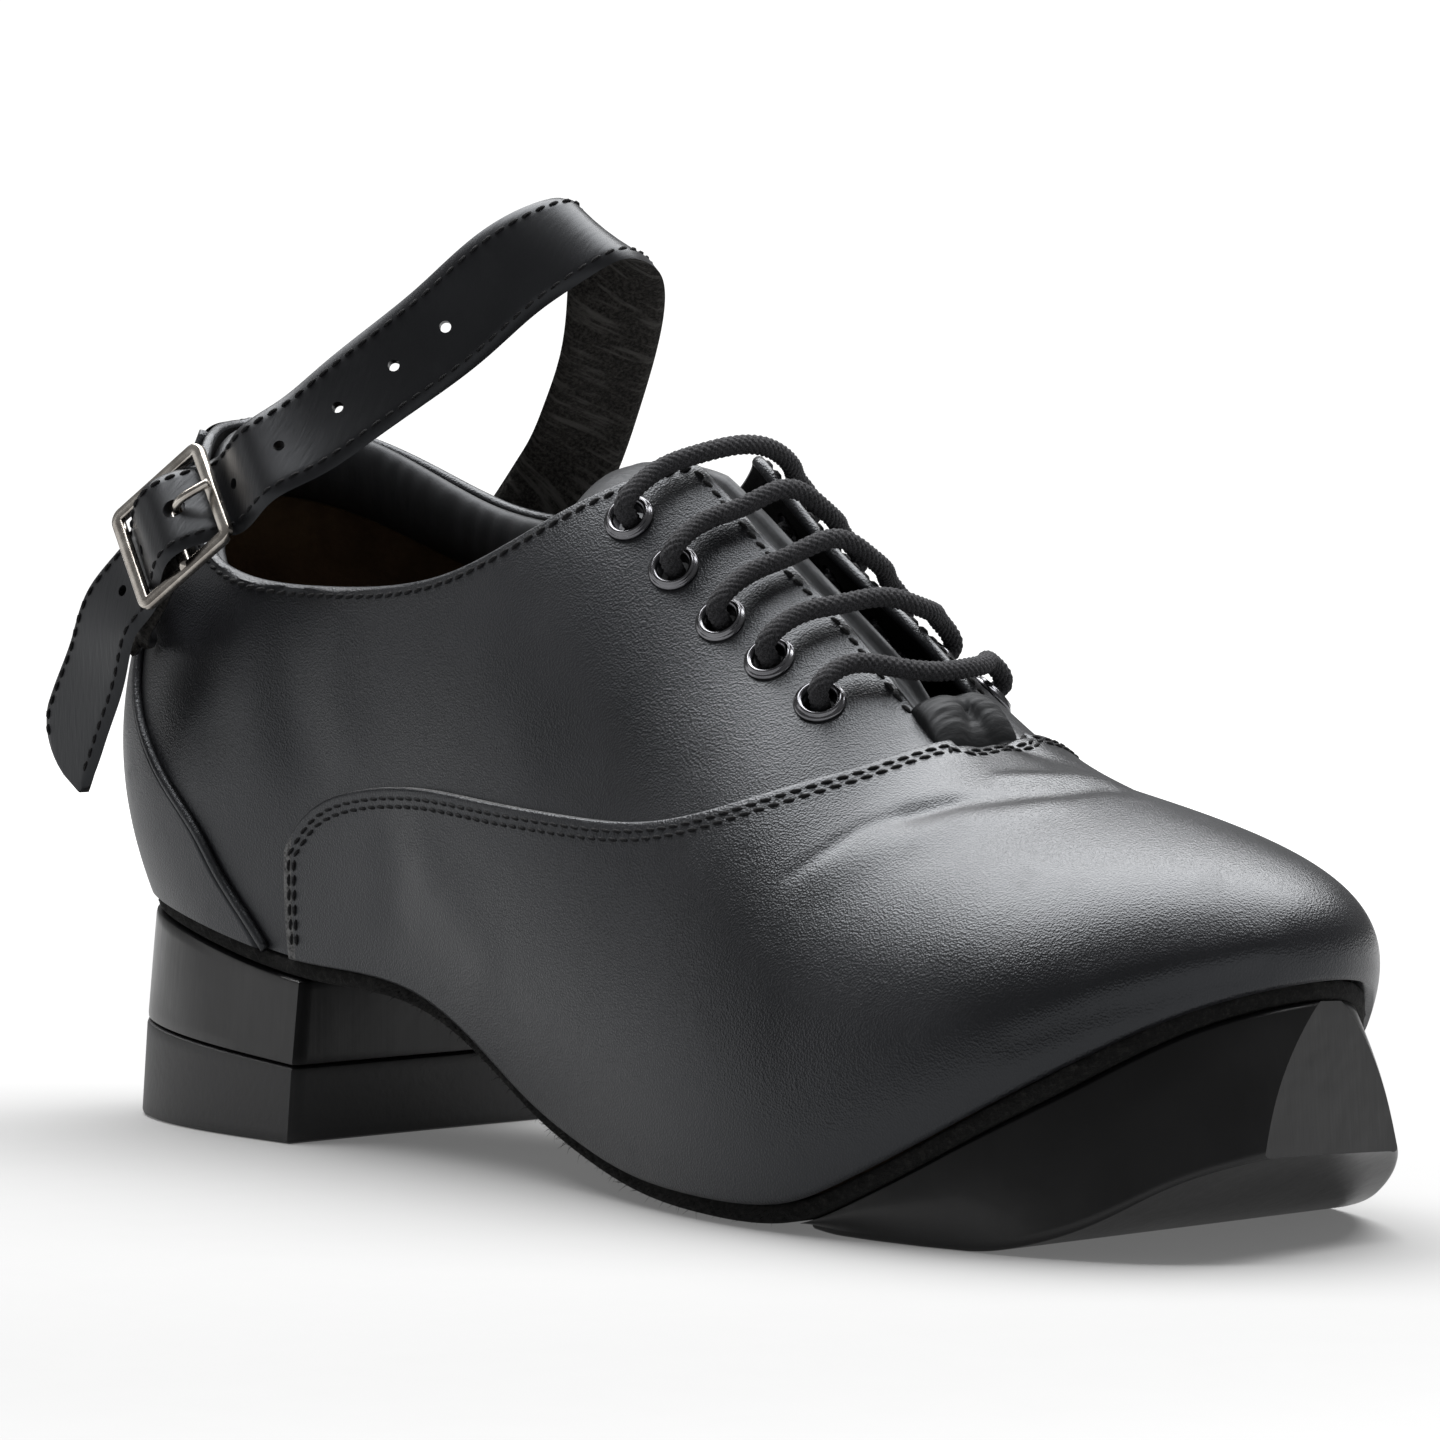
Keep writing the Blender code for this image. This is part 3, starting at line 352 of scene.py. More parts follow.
def piece(name, rings, finish, faces=None, wrap=(False, True), sharp=None):
    """A named mesh of the shoe through rings of points in mm, riding on the one body."""
    mesh = bpy.data.meshes.new(name)
    points = np.concatenate(rings) * MM
    mesh.from_pydata(points.tolist(), [], faces or woven(len(rings), len(rings[0]), *wrap))
    tidy = bmesh.new()
    tidy.from_mesh(mesh)
    bmesh.ops.remove_doubles(tidy, verts=tidy.verts, dist=1e-7)
    bmesh.ops.recalc_face_normals(tidy, faces=tidy.faces)
    tidy.to_mesh(mesh)
    tidy.free()
    for one in finish if isinstance(finish, list) else [finish]:
        mesh.materials.append(one.material)
    mesh.shade_smooth()
    if sharp:
        mesh.set_sharp_from_angle(angle=math.radians(sharp))
    thing = shown(name, mesh)
    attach(thing, "root")
    return thing


def woven(rows, columns, wrap_rows=False, wrap_columns=False):
    """Quads over a grid of points stored row after row."""
    i, k = np.mgrid[:rows - (not wrap_rows), :columns - (not wrap_columns)].reshape(2, -1)
    j, m = (i + 1) % rows, (k + 1) % columns
    quads = (i * columns + k, i * columns + m, j * columns + m, j * columns + k)
    return np.stack(quads, -1).tolist()


def cut_holes(thing, places, radius, reach):
    """Round holes through a piece at each (centre, axis), in mm."""
    made = bmesh.new()
    for centre, axis in places:
        turned = Vector(axis).to_track_quat("Z", "Y").to_matrix().to_4x4()
        bmesh.ops.create_cone(
            made, cap_ends=True, segments=24, radius1=radius * MM, radius2=radius * MM,
            depth=2 * reach * MM, matrix=Matrix.Translation(Vector(centre) * MM) @ turned,
        )
    mesh = bpy.data.meshes.new("hole cutter")
    made.to_mesh(mesh)
    made.free()
    cut = thing.modifiers.new("holes", "BOOLEAN")
    cut.object = shown("hole cutter", mesh)
    cut.operation = "DIFFERENCE"
    cut.solver = "EXACT"
    cut.material_mode = "INDEX"
    seen = thing.evaluated_get(bpy.context.evaluated_depsgraph_get())
    thing.data = bpy.data.meshes.new_from_object(seen)
    bpy.data.objects.remove(cut.object)
    thing.modifiers.clear()
    thing.data.set_sharp_from_angle(angle=math.radians(50))


turn = turns(460)
edge = opening_climb(turn)
up_rib = rib(turn, edge) - rib(turn, edge - 0.01)
below_edge = edge - 0.01 / np.linalg.norm(up_rib, axis=1)
rings = [on_last(turn, below_edge * share, 0.0) for share in np.linspace(0, 1, 72)]
skin_out = outward(turn, below_edge)
for angle in np.radians(np.linspace(15, 165, 6)):
    fold = unit(up_rib) * math.sin(angle) - skin_out * (1 - math.cos(angle))
    rings.append(rib(turn, below_edge) + fold * WALL / 2)
outer_rings = len(rings)
for share in np.linspace(1, 0, 40):
    rings.append(rib(turn, below_edge * share) - outward(turn, below_edge * share) * WALL)
both = [quarter_leather, split_lining]
upper = piece("upper_quarters", rings, both, None, (True, True), 50)
for polygon in upper.data.polygons:
    ring = min(polygon.vertices) // len(turn)
    polygon.material_index = int(ring >= outer_rings - 1)
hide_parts("upper")

# Eyelets: ten rolled brass rings with a gunmetal finish, set through both facings with a press.
EYELET_X = (94.7, 104.9, 115.5, 126.3, 137.3)
EYELET_Y = 18.0
EYELET_PROFILE = [
    # radius, height over the leather
    (2.45, -2.3), (2.45, 0.2), (2.52, 0.62), (2.72, 0.98), (3.02, 1.18), (3.28, 1.12), (3.42, 0.92),
    (3.5, 0.72), (3.72, 0.62), (3.95, 0.42), (4.05, 0.12), (4.0, -0.05),
]
gunmetal = Finish("gunmetal", {"Metallic": 1.0})
smear = gunmetal.noise(260.0, 4.0)
gunmetal.set({
    "Base Color": gunmetal.mix(smear.ramp(), (0.10, 0.10, 0.108), (0.19, 0.19, 0.20)),
    "Roughness": 0.16 + smear * 0.14,
})


def circle(count):
    return np.linspace(0, 2 * math.pi, count, endpoint=False)


def grid_tree(grid):
    return BVHTree.FromPolygons(grid.reshape(-1, 3).tolist(), woven(*grid.shape[:2]))


steps = np.linspace(0.2, 0.5, 90)[:, None]
climbs = np.linspace(0.3, 1.0, 40)[None, :]
INSTEP = grid_tree(np.concatenate([rib(steps, climbs), rib(1 - steps, climbs[:, ::-1])], 1))


def height(x, y):
    return INSTEP.ray_cast(Vector((x, y, 200.0)), Vector((0, 0, -1)))[0].z


def drape(x, y):
    """Point and normal of the last's top over a place in plan."""
    fall = [height(x - 2, y) - height(x + 2, y), height(x, y - 2) - height(x, y + 2), 4.0]
    return np.array([x, y, height(x, y)]), unit(np.array(fall))


eyelet_places = [drape(x, side * EYELET_Y) for side in (-1, 1) for x in EYELET_X]
cut_holes(upper, eyelet_places, 3.0, 5.0)
around = circle(48)[:, None]
for number, (centre, axis) in enumerate(eyelet_places):
    across = unit(np.cross(axis, (1.0, 0.0, 0.0)))
    way = across * np.cos(around) + np.cross(axis, across) * np.sin(around)
    rings = [centre + axis * rise + way * radius for radius, rise in EYELET_PROFILE]
    node = f"eyelet_{'outer' if number < 5 else 'inner'}_{number % 5 + 1}"
    ring = piece(f"{node}_ring", rings, gunmetal)
    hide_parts(node)

# Topline seam: one row of black polyester lockstitch, 2 mm under the folded edge and on down the facings.
thread = Finish("black thread", {"Roughness": 0.75, "Specular IOR Level": 0.15})
twist = thread.noise(5200.0, 2.0)
thread.set({
    "Base Color": thread.mix(twist.ramp(0.35, 0.65), (0.003, 0.003, 0.0035), (0.016, 0.016, 0.017)),
    "Normal": thread.bump(twist, 0.0001, 0.6),
})


def tree_of(thing):
    points = [tuple(vertex.co / MM) for vertex in thing.data.vertices]
    return BVHTree.FromPolygons(points, [tuple(polygon.vertices) for polygon in thing.data.polygons])


def snapped(path, tree):
    """Path points moved onto a surface, with its normals there."""
    spots = [tree.find_nearest(Vector(point)) for point in path]
    return np.array([spot[0] for spot in spots]), np.array([spot[1] for spot in spots])


def inside_line(path, normals, distance):
    """Line beside a path on the skin, to its left seen from outside."""
    along = unit(np.gradient(path, axis=0))
    return path + np.cross(normals, along) * distance


STITCH = [
    # place along, share of the radius, rise
    (-1.0, 0.05, -0.30), (-0.86, 0.7, -0.12), (-0.4, 1.0, 0.10), (0.4, 1.0, 0.10), (0.86, 0.7, -0.12),
    (1.0, 0.05, -0.30),
]


def strewn(count, rows, columns):
    """Faces of many like tubes stored one after the other."""
    tube = woven(rows, columns, False, True)
    return [tuple(rows * columns * k + v for v in face) for k in range(count) for face in tube]


def stitches(name, path, normals, pitch, radius, slant, share):
    """A row of stitches along a path: each a small arched capsule with its ends drawn in."""
    run = lengths(path)
    at = (np.arange(int(run[-1] / pitch)) + 0.5) * pitch

    def spread(values, shift=0.0):
        return np.stack([np.interp(at + shift, run, column) for column in values.T], -1)

    centre = spread(path)
    normal = unit(spread(normals))
    along = unit(spread(path, 0.2) - spread(path, -0.2))
    along = unit(along + unit(np.cross(normal, along)) * slant)
    side = unit(np.cross(normal, along))
    around = circle(6)[:, None]
    rings = []
    for k in range(len(at)):
        ring = (side[k] * np.cos(around) + normal[k] * np.sin(around)) * radius
        for spot, thick, rise in STITCH:
            rings.append(centre[k] + along[k] * spot * pitch * share / 2 + normal[k] * rise + ring * thick)
    return piece(name, rings, thread, strewn(len(at), len(STITCH), 6))


UPPER_TREE = tree_of(upper)
for label, part_turn in (("outer", np.linspace(0.065, 0.43, 900)), ("inner", np.linspace(0.57, 0.80, 600))):
    seam_edge = opening_climb(part_turn)
    line = inside_line(rib(part_turn, seam_edge), outward(part_turn, seam_edge), -1.8)
    line, line_normal = snapped(line[line[:, 0] < 147], UPPER_TREE)
    stitches(f"topline_seam_{label}", line, line_normal, 2.5, 0.35, 0.22, 0.86)

# Vamp panel: the toe and lower sides, one piece of 1.3 mm leather laid over the quarters, its upper edge
# raw cut and held by two rows of stitches.
OVERLAY = 1.3
PANEL_EDGE = [
    (24, 40), (27.2, 47), (31, 52), (37, 55.6), (45, 57.6), (60, 58.9), (80, 57.9), (100, 56.8),
    (116, 56.6), (127, 58.2), (138, 61.4), (146, 64.4), (151, 67), (156, 72),
]
PANEL_REAR_X = 26.8
PANEL_Z = spline(PANEL_EDGE, 1)
vamp_leather = leather("vamp leather", BLACK, 0.33, 0.75)
cut_edge = Finish("raw cut edge", {"Roughness": 0.8})
fibres = cut_edge.noise(1800.0, 4.0)
cut_edge.set({
    "Base Color": cut_edge.mix(fibres.ramp(), (0.020, 0.020, 0.021), (0.13, 0.13, 0.13)),
    "Normal": cut_edge.bump(fibres, 0.0003, 0.6),
})


def turn_at_x(x, side):
    """Place round the shoe where the lower edge passes x on the outer (-1) or inner (1) side."""
    fine = np.linspace(0.0 if side < 0 else 1.0, 0.5, 801)
    return float(np.interp(x, FOOT_X(fine), fine))


def rim(distance):
    """Lift of an overlay at a distance from its cut edge: a low wall, then a small round."""
    share = np.clip(distance / 0.6, 0, 1)
    return 0.5 + (OVERLAY - 0.5) * np.sqrt(1 - (1 - share) ** 2)


def above_panel(grid, _):
    x, z = grid[..., 0], grid[..., 2]
    return np.where(x < PANEL_EDGE[-1][0], z - PANEL_Z(x), -1.0)


ROUND = 620.0
EDGE_STEPS = np.array([0.0, 0.0, 0.12, 0.3, 0.6])
rear, front = turn_at_x(PANEL_REAR_X, -1), turn_at_x(PANEL_REAR_X, 1)
margin = EDGE_STEPS / ROUND
turn = np.concatenate([rear + margin, turns(430, rear + 0.0014, front - 0.0014), front - margin[::-1]])
edge = np.minimum(first_climb(turn, above_panel, 0.0), opening_climb(turn) - 0.004)
rib_scale = np.linalg.norm(rib(turn, edge) - rib(turn, edge - 0.01), axis=1) / 0.01
end_rim = rim(np.minimum(turn - turn[0], turn[-1] - turn) * ROUND)
rings = [(edge - distance / rib_scale, np.minimum(rim(distance), end_rim)) for distance in EDGE_STEPS]
rings[0] = (edge, 0.0 * edge)
for share in np.linspace(1, 0, 74)[1:]:
    rings.append(((edge - 0.6 / rib_scale) * share, np.minimum(OVERLAY, end_rim)))
points = []
for climb, lift in rings:
    lift[[0, -1]] = 0.0
    points.append(on_last(turn, climb, lift))
points.append(rib(turn, 0.0) - outward(turn, 0.0))
vamp = piece("vamp_leather", points, [vamp_leather, cut_edge], None, (False, False))
for polygon in vamp.data.polygons:
    row, column = divmod(min(polygon.vertices), len(turn))
    polygon.material_index = int(row < 2 or column < 2 or column >= len(turn) - 3)
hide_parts("vamp_panel")

VAMP_TREE = tree_of(vamp)
rear_end, front_end = (
    np.stack([np.full(120, at), np.linspace(0.02, top, 120)], -1)
    for at, top in ((rear, edge[0]), (front, edge[-1]))
)
boundary = np.concatenate([rear_end, np.stack([turn, edge], -1)[2:-2], front_end[::-1]])
for number, distance in ((1, 1.7), (2, 3.0)):
    line = inside_line(rib(*boundary.T), outward(*boundary.T), -distance)
    line = np.concatenate([line[:1]] * 4 + [line] + [line[-1:]] * 4)
    line = np.stack([np.convolve(column, np.ones(9) / 9, "valid") for column in line.T], -1)
    line, line_normal = snapped(line, VAMP_TREE)
    stitches(f"vamp_seam_{number}", line, line_normal, 2.4, 0.29, -0.15, 0.9)

# Heel counter: a stiff leather cap round the heel, edged at the front by a thin corded piping.
COUNTER_EDGE = [
    (30, 21), (37, 14.6), (41, 10.6), (49, 3.9), (55, -3.2), (63, -11.8), (72, -18.2), (80, -20.5),
    (100, -21), (125, -21),
]
COUNTER_X = spline(COUNTER_EDGE, 1)
counter_leather = leather("counter leather", (0.005, 0.005, 0.006), 0.40, 0.7)
fine = np.linspace(0.0, 0.2, 400)
sides = [(fine, opening_climb(fine)), (1 - fine, opening_climb(1 - fine))]
points = []
lines = {"outer": [], "inner": []}
for share in np.linspace(0.0, 0.99, 61):
    ends = []
    for side_turn, side_edge in sides:
        point = rib(side_turn, side_edge * share)
        ahead = point[:, 0] - COUNTER_X(point[:, 2])
        k = max(int(np.argmax(ahead > 0)), 1)
        mix = -ahead[k - 1] / (ahead[k] - ahead[k - 1]) if ahead[k - 1] < 0 else 0.0
        ends.append(side_turn[k - 1] + (side_turn[k] - side_turn[k - 1]) * mix)
    spread = np.linspace(ends[0], ends[1] - 1.0, 110)
    climb = opening_climb(spread % 1.0) * share
    top_gap = (1 - share) * 80.0
    lift = rim(np.minimum(spread[0] - spread, spread - spread[-1]) * ROUND)
    lift = np.minimum(np.minimum(lift, rim(top_gap)), 0.1 + top_gap * 0.5)
    lift[[0, -1]] = 0.0
    points.append(on_last(spread % 1.0, climb, lift))
    skin = rib(spread % 1.0, climb) + outward(spread % 1.0, climb) * 0.55
    lines["outer"].append(skin[0])
    lines["inner"].append(skin[-1])
counter = piece("counter_leather", points, counter_leather, None, (False, False))
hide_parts("heel_counter")


def evenly(points, spacing):
    """Evenly spaced points on a smooth curve through the given ones."""
    points = np.asarray(points, float)
    run = lengths(points)
    rows = [(at, *point) for at, point in zip(run, points)]
    at = np.linspace(0, run[-1], max(int(round(run[-1] / spacing)), 2) + 1)
    return np.stack([spline(rows, column)(at) for column in range(1, points.shape[1] + 1)], -1)


def hose(name, path, radius, finish, sides=12, shape=None):
    """Tube along a path; shape gives each ring's own radius as a factor over the angle and the run."""
    along = unit(np.gradient(path, axis=0))
    side = np.cross(along[0], (0.3, 0.2, 1.0))
    around = circle(sides)
    rings = [path[:1].repeat(sides, 0)]
    for point, way, run in zip(path, along, lengths(path)):
        side = unit(side - way * (side @ way))
        thick = radius * (shape(around, run) if shape else np.ones(sides))[:, None]
        ring = side * np.cos(around)[:, None] + np.cross(way, side) * np.sin(around)[:, None]
        rings.append(point + ring * thick)
    return piece(name, rings + [path[-1:].repeat(sides, 0)], finish)


for label, line in lines.items():
    hose(f"counter_piping_{label}", evenly(line[::3], 1.2), 0.85, quarter_leather)

# Collar pad: a roll of thin soft leather over foam round the heel and along the inner side, its upper
# edge caught under the topline, with fine gathers drawn down to the lining.
PAD_DEEP = 6.0
PAD_TALL = 6.6
PAD_THICK = 2.7
soft_leather = leather("soft leather", (0.0045, 0.0045, 0.005), 0.55, 0.6, 0.34)
gather = soft_leather.noise(1.0, 3.0, soft_leather.stretched((520, 520, 90)))
soft_leather.set({"Normal": soft_leather.bump(gather, 0.0004, 0.4)})
turn = np.concatenate([np.linspace(0.775, 0.995, 240), np.linspace(1.0, 1.125, 150)]) % 1.0
edge = opening_climb(turn)
brink = rib(turn, edge)
skin_out = outward(turn, edge)
down = unit(rib(turn, edge - 0.01) - brink)
swell = np.sin(np.linspace(0.02, math.pi - 0.02, len(turn))) ** 0.4
run = np.linspace(0, 1, len(turn))
around = circle(40)
squash = np.sign(np.cos(around)) * np.abs(np.cos(around)) ** 0.85
rings = []
for k in range(len(turn)):
    fold = 1 + 0.02 * np.sin(run[k] * 210 + 1.3 * np.sin(run[k] * 47)) * np.clip(np.sin(around), 0, 1)
    deep = PAD_DEEP + PAD_TALL * swell[k] * squash
    inward = WALL + 0.15 + PAD_THICK * swell[k] * (1.0 + np.sin(around)) * fold
    rings.append(brink[k] + down[k] * deep[:, None] - skin_out[k] * inward[:, None])
rings = [0 * rings[0] + rings[0].mean(0)] + rings + [0 * rings[0] + rings[-1].mean(0)]
pad = piece("collar_roll", rings, soft_leather)
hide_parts("collar_pad")

# Tongue: soft leather lying under the lace, raised into lengthwise folds, with a gathered tab of the
# same leather standing at the throat.
TONGUE = [
    # x, z, half width
    (75, 109, 16), (78, 109.6, 20), (84, 108.8, 21), (92, 105.4, 22), (101, 99.8, 22), (111, 92.6, 22),
    (121, 85.6, 22), (131, 78.6, 22), (139, 72.4, 21), (143.4, 69, 20), (145, 67.8, 19.5), (147.5, 66, 19),
    (150.2, 64, 18), (151.6, 63.2, 17), (152.4, 62.6, 16), (158, 60.2, 14), (163, 58.2, 12),
]
tongue_z = spline(TONGUE, 1)
tongue_half = spline(TONGUE, 2)
across_share = np.linspace(-1, 1, 130)
grid = []
for x in np.linspace(75.0, 163.0, 190):
    y = across_share * tongue_half(x)
    begin = min(max((x - 76) / 8, 0), 1)
    fold = 0.34 * np.sin(y * 2.3 + x * 0.045 + 0.7) + 0.2 * np.sin(y * 4.7 - x * 0.07)
    begin *= min(max((148 - x) / 12, 0), 1)
    stand = 3.6 * np.exp(-(((y + 2.2) / 1.7) ** 2)) + 4.6 * np.exp(-(((y - 2.8) / 1.5) ** 2))
    rise = (fold + stand * min(max((x - 80) / 14, 0), 1)) * np.exp(-((y / 9.0) ** 2)) * begin
    rise = rise - np.where(y < 0, 0.04, 0.05) * y * y
    grid.append(np.stack([np.full(130, x), SLOT_Y + y, tongue_z(x) + rise], -1))
grid = np.array(grid)
low = grid - (0, 0, 2.2)
first = 0.5 * (grid[0] + low[0]) - (0.8, 0, 0)
last = 0.5 * (grid[-1] + low[-1])
sheets = [first, *grid, last, *low[::-1]]
tongue = piece("tongue_leather", sheets, soft_leather, None, (True, False))
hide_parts("tongue")
around = np.linspace(0, math.pi, 48)
tab_rows = []
for share in np.linspace(0, 1, 70):
    x = 146.0 + 7.4 * share
    arch = math.sin(math.pi * min(share * 1.02, 1.0)) ** 0.45 if share < 0.98 else 0.1
    y = -(7.6 + 0.8 * share) * np.cos(around) - 0.8
    ridge = 0.07 * np.sin(x * 3.4 + 1.2 * np.sin(y * 0.6)) + 0.05 * np.sin(x * 7.1 + y * 0.5)
    base = np.array([height(x, SLOT_Y + at) for at in y])
    z = base - 1.2 + (4.6 + ridge) * arch * np.sin(around) ** 0.3
    tab_rows.append(np.stack([np.full(48, x), SLOT_Y + y, z], -1))
tab_leather = leather("tab leather", (0.0018, 0.0018, 0.002), 0.62, 0.8, 0.24)
wrinkle = tab_leather.noise(1.0, 4.0, tab_leather.stretched((900, 130, 130)))
tab_leather.set({"Normal": tab_leather.bump(wrinkle, 0.0004, 0.8)})
piece("tongue_tab", tab_rows, tab_leather, None, (False, False))

# Insole: brown pressed leather board lying inside the shoe, seen only through the collar.
board = Finish("brown insole board", {"Roughness": 0.85})
pressed = board.noise(500.0, 4.0)
board.set({
    "Base Color": board.mix(pressed.ramp(), (0.030, 0.018, 0.010), (0.060, 0.038, 0.022)),
    "Normal": board.bump(pressed, 0.0003, 0.5),
})
for material_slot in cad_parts["insole"].material_slots:
    material_slot.material = board.material

# Outsole: black leather under the whole shoe, its edge left rough and fuzzy below the feather line.
GAP = 0.3
SOLE_THICK = 3.2
sole_leather = Finish("rough sole edge", {"Roughness": 0.88, "Specular IOR Level": 0.25})
nap = sole_leather.noise(1100.0, 6.0, rough=0.75)
scraped = sole_leather.noise(1.0, 4.0, sole_leather.stretched((60, 60, 900)))
sole_leather.set({
    "Base Color": sole_leather.mix(nap.ramp(0.45, 0.75), (0.004, 0.004, 0.004), (0.024, 0.023, 0.021)),
    "Normal": sole_leather.bump(nap + scraped * 0.5, 0.0007, 0.9),
})


def capped(rings):
    """Faces of a solid through rings of points, both end rings closed across."""
    count = len(rings[0])
    faces = woven(len(rings), count, False, True)
    for start in (0, (len(rings) - 1) * count):
        for k in range((count - 1) // 2):
            far = start + count - 1 - k
            faces.append(tuple(dict.fromkeys([start + k, start + k + 1, far - 1, far])))
    return faces


def sole_ring(turn, inset, depth):
    x, y = foot(turn, inset)
    return np.stack([x, y, FOOT_Z(x) - depth], -1)


SOLE_RINGS = [
    # inset, depth, share of the ragged edge
    (1.6, 0.3, 0), (0.55, 0.35, 0), (0.15, 0.7, 1), (0.0, 1.2, 1), (0.05, 2.4, -1), (0.25, 2.95, 0),
    (0.8, 3.2, 0),
]
turn = turns(520)
ragged_edge = 0.12 * np.sin(turn * 940) + 0.10 * np.sin(turn * 2310 + 1) + 0.08 * np.sin(turn * 4127)
rings = [sole_ring(turn, inset + ragged_edge * rough, depth) for inset, depth, rough in SOLE_RINGS]
sole = piece("sole_leather_layer", rings, sole_leather, capped(rings), sharp=50)
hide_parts("outsole")

# Sole fibres: loose ends of leather fibre, finer than a hair at their tips, that stand out from the
# sole's rough edge along the outer side.
FIBRES = 420
corner = np.array([[0], [2.1], [4.2]])
rings = []
for k in range(FIBRES):
    at = 0.20 + 0.21 * ((k * 0.6180339887) % 1.0)
    start, ahead = sole_ring(np.array([at, at + 0.002]), 0.0, 0.9 + 1.9 * ((k * 0.7548776662) % 1.0))
    ahead = unit(ahead - start)
    length = 0.5 + 1.1 * ((k * 0.5698402909) % 1.0) ** 2
    sway = ahead * math.sin(k * 12.9898) * 1.1 - UP * 0.5 * (1 + math.sin(k * 3.7))
    for bend, thick in ((0.0, 0.06), (0.5, 0.05), (1.0, 0.01)):
        spot = start + np.cross(ahead, UP) * (length * bend - 0.1) + sway * length * bend * bend
        rings.append(spot + (ahead * np.cos(corner) + UP * np.sin(corner)) * thick)
piece("sole_edge_fibres", rings, sole_leather, strewn(FIBRES, 3, 3))

# Heel: a block of glossy black resin over a satin lift, both moulded.
HEEL_BREAST_X = 29.2
HEEL_SPREAD = 2.4
LIFT_FRONT = 12.5
LIFT_BACK = 17.0
gloss = Finish("gloss resin", {"Specular IOR Level": 0.36, "Coat Weight": 0.06, "Coat Roughness": 0.1})
flow = gloss.noise(60.0, 3.0)
lines = gloss.noise(1.0, 3.0, gloss.stretched((900, 900, 30)))
gloss.set({
    "Base Color": gloss.mix(flow.ramp(), (0.003, 0.003, 0.0033), (0.005, 0.005, 0.0055)),
    "Roughness": 0.24 + flow * 0.12 + lines * 0.08,
    "Normal": gloss.bump(lines, 0.00006, 0.4, gloss.bump(flow, 0.0012, 0.25)),
})
satin = Finish("satin resin", {"Specular IOR Level": 0.5})
mould = satin.noise(700.0, 3.0)
streak = satin.noise(45.0, 4.0)
satin.set({
    "Base Color": satin.mix(streak.ramp(), (0.006, 0.006, 0.0065), (0.011, 0.011, 0.012)),
    "Roughness": 0.42 + streak * 0.16,
    "Normal": satin.bump(mould, 0.00012, 0.5),
})
inner_end = turn_at_x(HEEL_BREAST_X, 1)
outer_end = turn_at_x(HEEL_BREAST_X, -1)
turn = turns(220, inner_end - 1.0, outer_end) % 1.0


def heel_ring(share, level, inset=0.0):
    """Ring round the heel: share of its spread, and the height of the ring as a function of x."""
    x, y = foot(turn, -0.4 - HEEL_SPREAD * share + inset)
    near = np.clip(0.5 + 0.5 * (x - HEEL_BREAST_X + inset) / 1.2, 0, 1)
    x = x * (1 - near) + (HEEL_BREAST_X - inset) * near - 1.2 * near * (1 - near)
    front = np.linspace(0, 1, 42)[1:-1]
    x = np.concatenate([x, np.full(40, HEEL_BREAST_X - inset)])
    y = np.concatenate([y, y[-1] + (y[0] - y[-1]) * front])
    return np.stack([x, y, level(x)], -1)


def heel_seam(x):
    return LIFT_FRONT + (HEEL_BREAST_X - x) / 60.0 * (LIFT_BACK - LIFT_FRONT)


def under_sole(x):
    return FOOT_Z(x) - SOLE_THICK - GAP


def between(share, drop_top=0.0, raise_low=0.0):
    return lambda x: (under_sole(x) - drop_top) * (1 - share) + (heel_seam(x) + raise_low) * share


rings = [heel_ring(0.0, between(0), 0.7), heel_ring(0.0, between(0, 0.25), 0.1)]
rings += [heel_ring(0.6 * s, between(s)) for s in np.linspace(0.04, 0.96, 12)]
rings += [heel_ring(0.6, between(1, 0, 0.2), 0.1), heel_ring(0.6, between(1), 0.5)]
block = piece("heel_block_gloss", rings, gloss, capped(rings), sharp=40)
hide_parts("heel_block")


def lift_level(share):
    return lambda x: (heel_seam(x) - GAP) * (1 - share) + 0.8 * share


rings = [heel_ring(0.62, lift_level(0), 0.6), heel_ring(0.64, lift_level(0.02), 0.12)]
rings += [heel_ring(0.64 + 0.36 * s, lift_level(s)) for s in np.linspace(0.05, 1.0, 10)]
rings += [heel_ring(1.0, lambda x: 0.35 + 0 * x, 0.15), heel_ring(1.0, lambda x: 0 * x, 0.9)]
lift = piece("heel_lift_satin", rings, satin, capped(rings), sharp=40)
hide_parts("heel_lift")

# Toe tip: the hard tapping wedge, cast in resin and ground by hand, its front cut off flat and left satin.
TIP = [
    # top x y, low x y z
    (160, -43, 160, -40.6, 0.4), (165, -42.8, 165.5, -41, 0), (172, -41.9, 173, -41, 0),
    (179, -40.4, 181, -40.2, 0), (186, -38.4, 189, -38.6, 0), (193, -35.4, 196, -37.2, 0.9),
    (200, -31.4, 203, -34.8, 2.9), (206, -27.2, 209, -32, 5.6), (211, -22.4, 214.5, -28.6, 8.9),
    (215, -17, 219.5, -23, 12), (219, -8.4, 224.2, -14, 14.2), (220.6, 1.5, 224.6, -2, 14.4),
    (219, 8.6, 224, 10.5, 14.2), (215.6, 14.2, 220, 18.4, 12.2), (211, 19.4, 214.8, 24, 9),
    (206, 24.2, 209, 28.4, 5.6), (200, 28.9, 203, 32, 2.9), (193, 33, 196, 35.2, 0.9),
    (186, 36.2, 189, 37.4, 0), (179, 38.4, 181, 39, 0), (172, 40.2, 173, 40, 0), (165, 41.6, 165, 40.4, 0),
    (160, 42.4, 160, 40.6, 0.4),
]
TIP_FACET = [Vector(point) * MM for point in ((224.0, -12.3, 13.7), (220.4, 17.2, 12.1), (220.1, 4.7, 35.7))]
tip_rows = [(k, *row) for k, row in enumerate(TIP)]
at = np.linspace(0, len(TIP) - 1, 260)
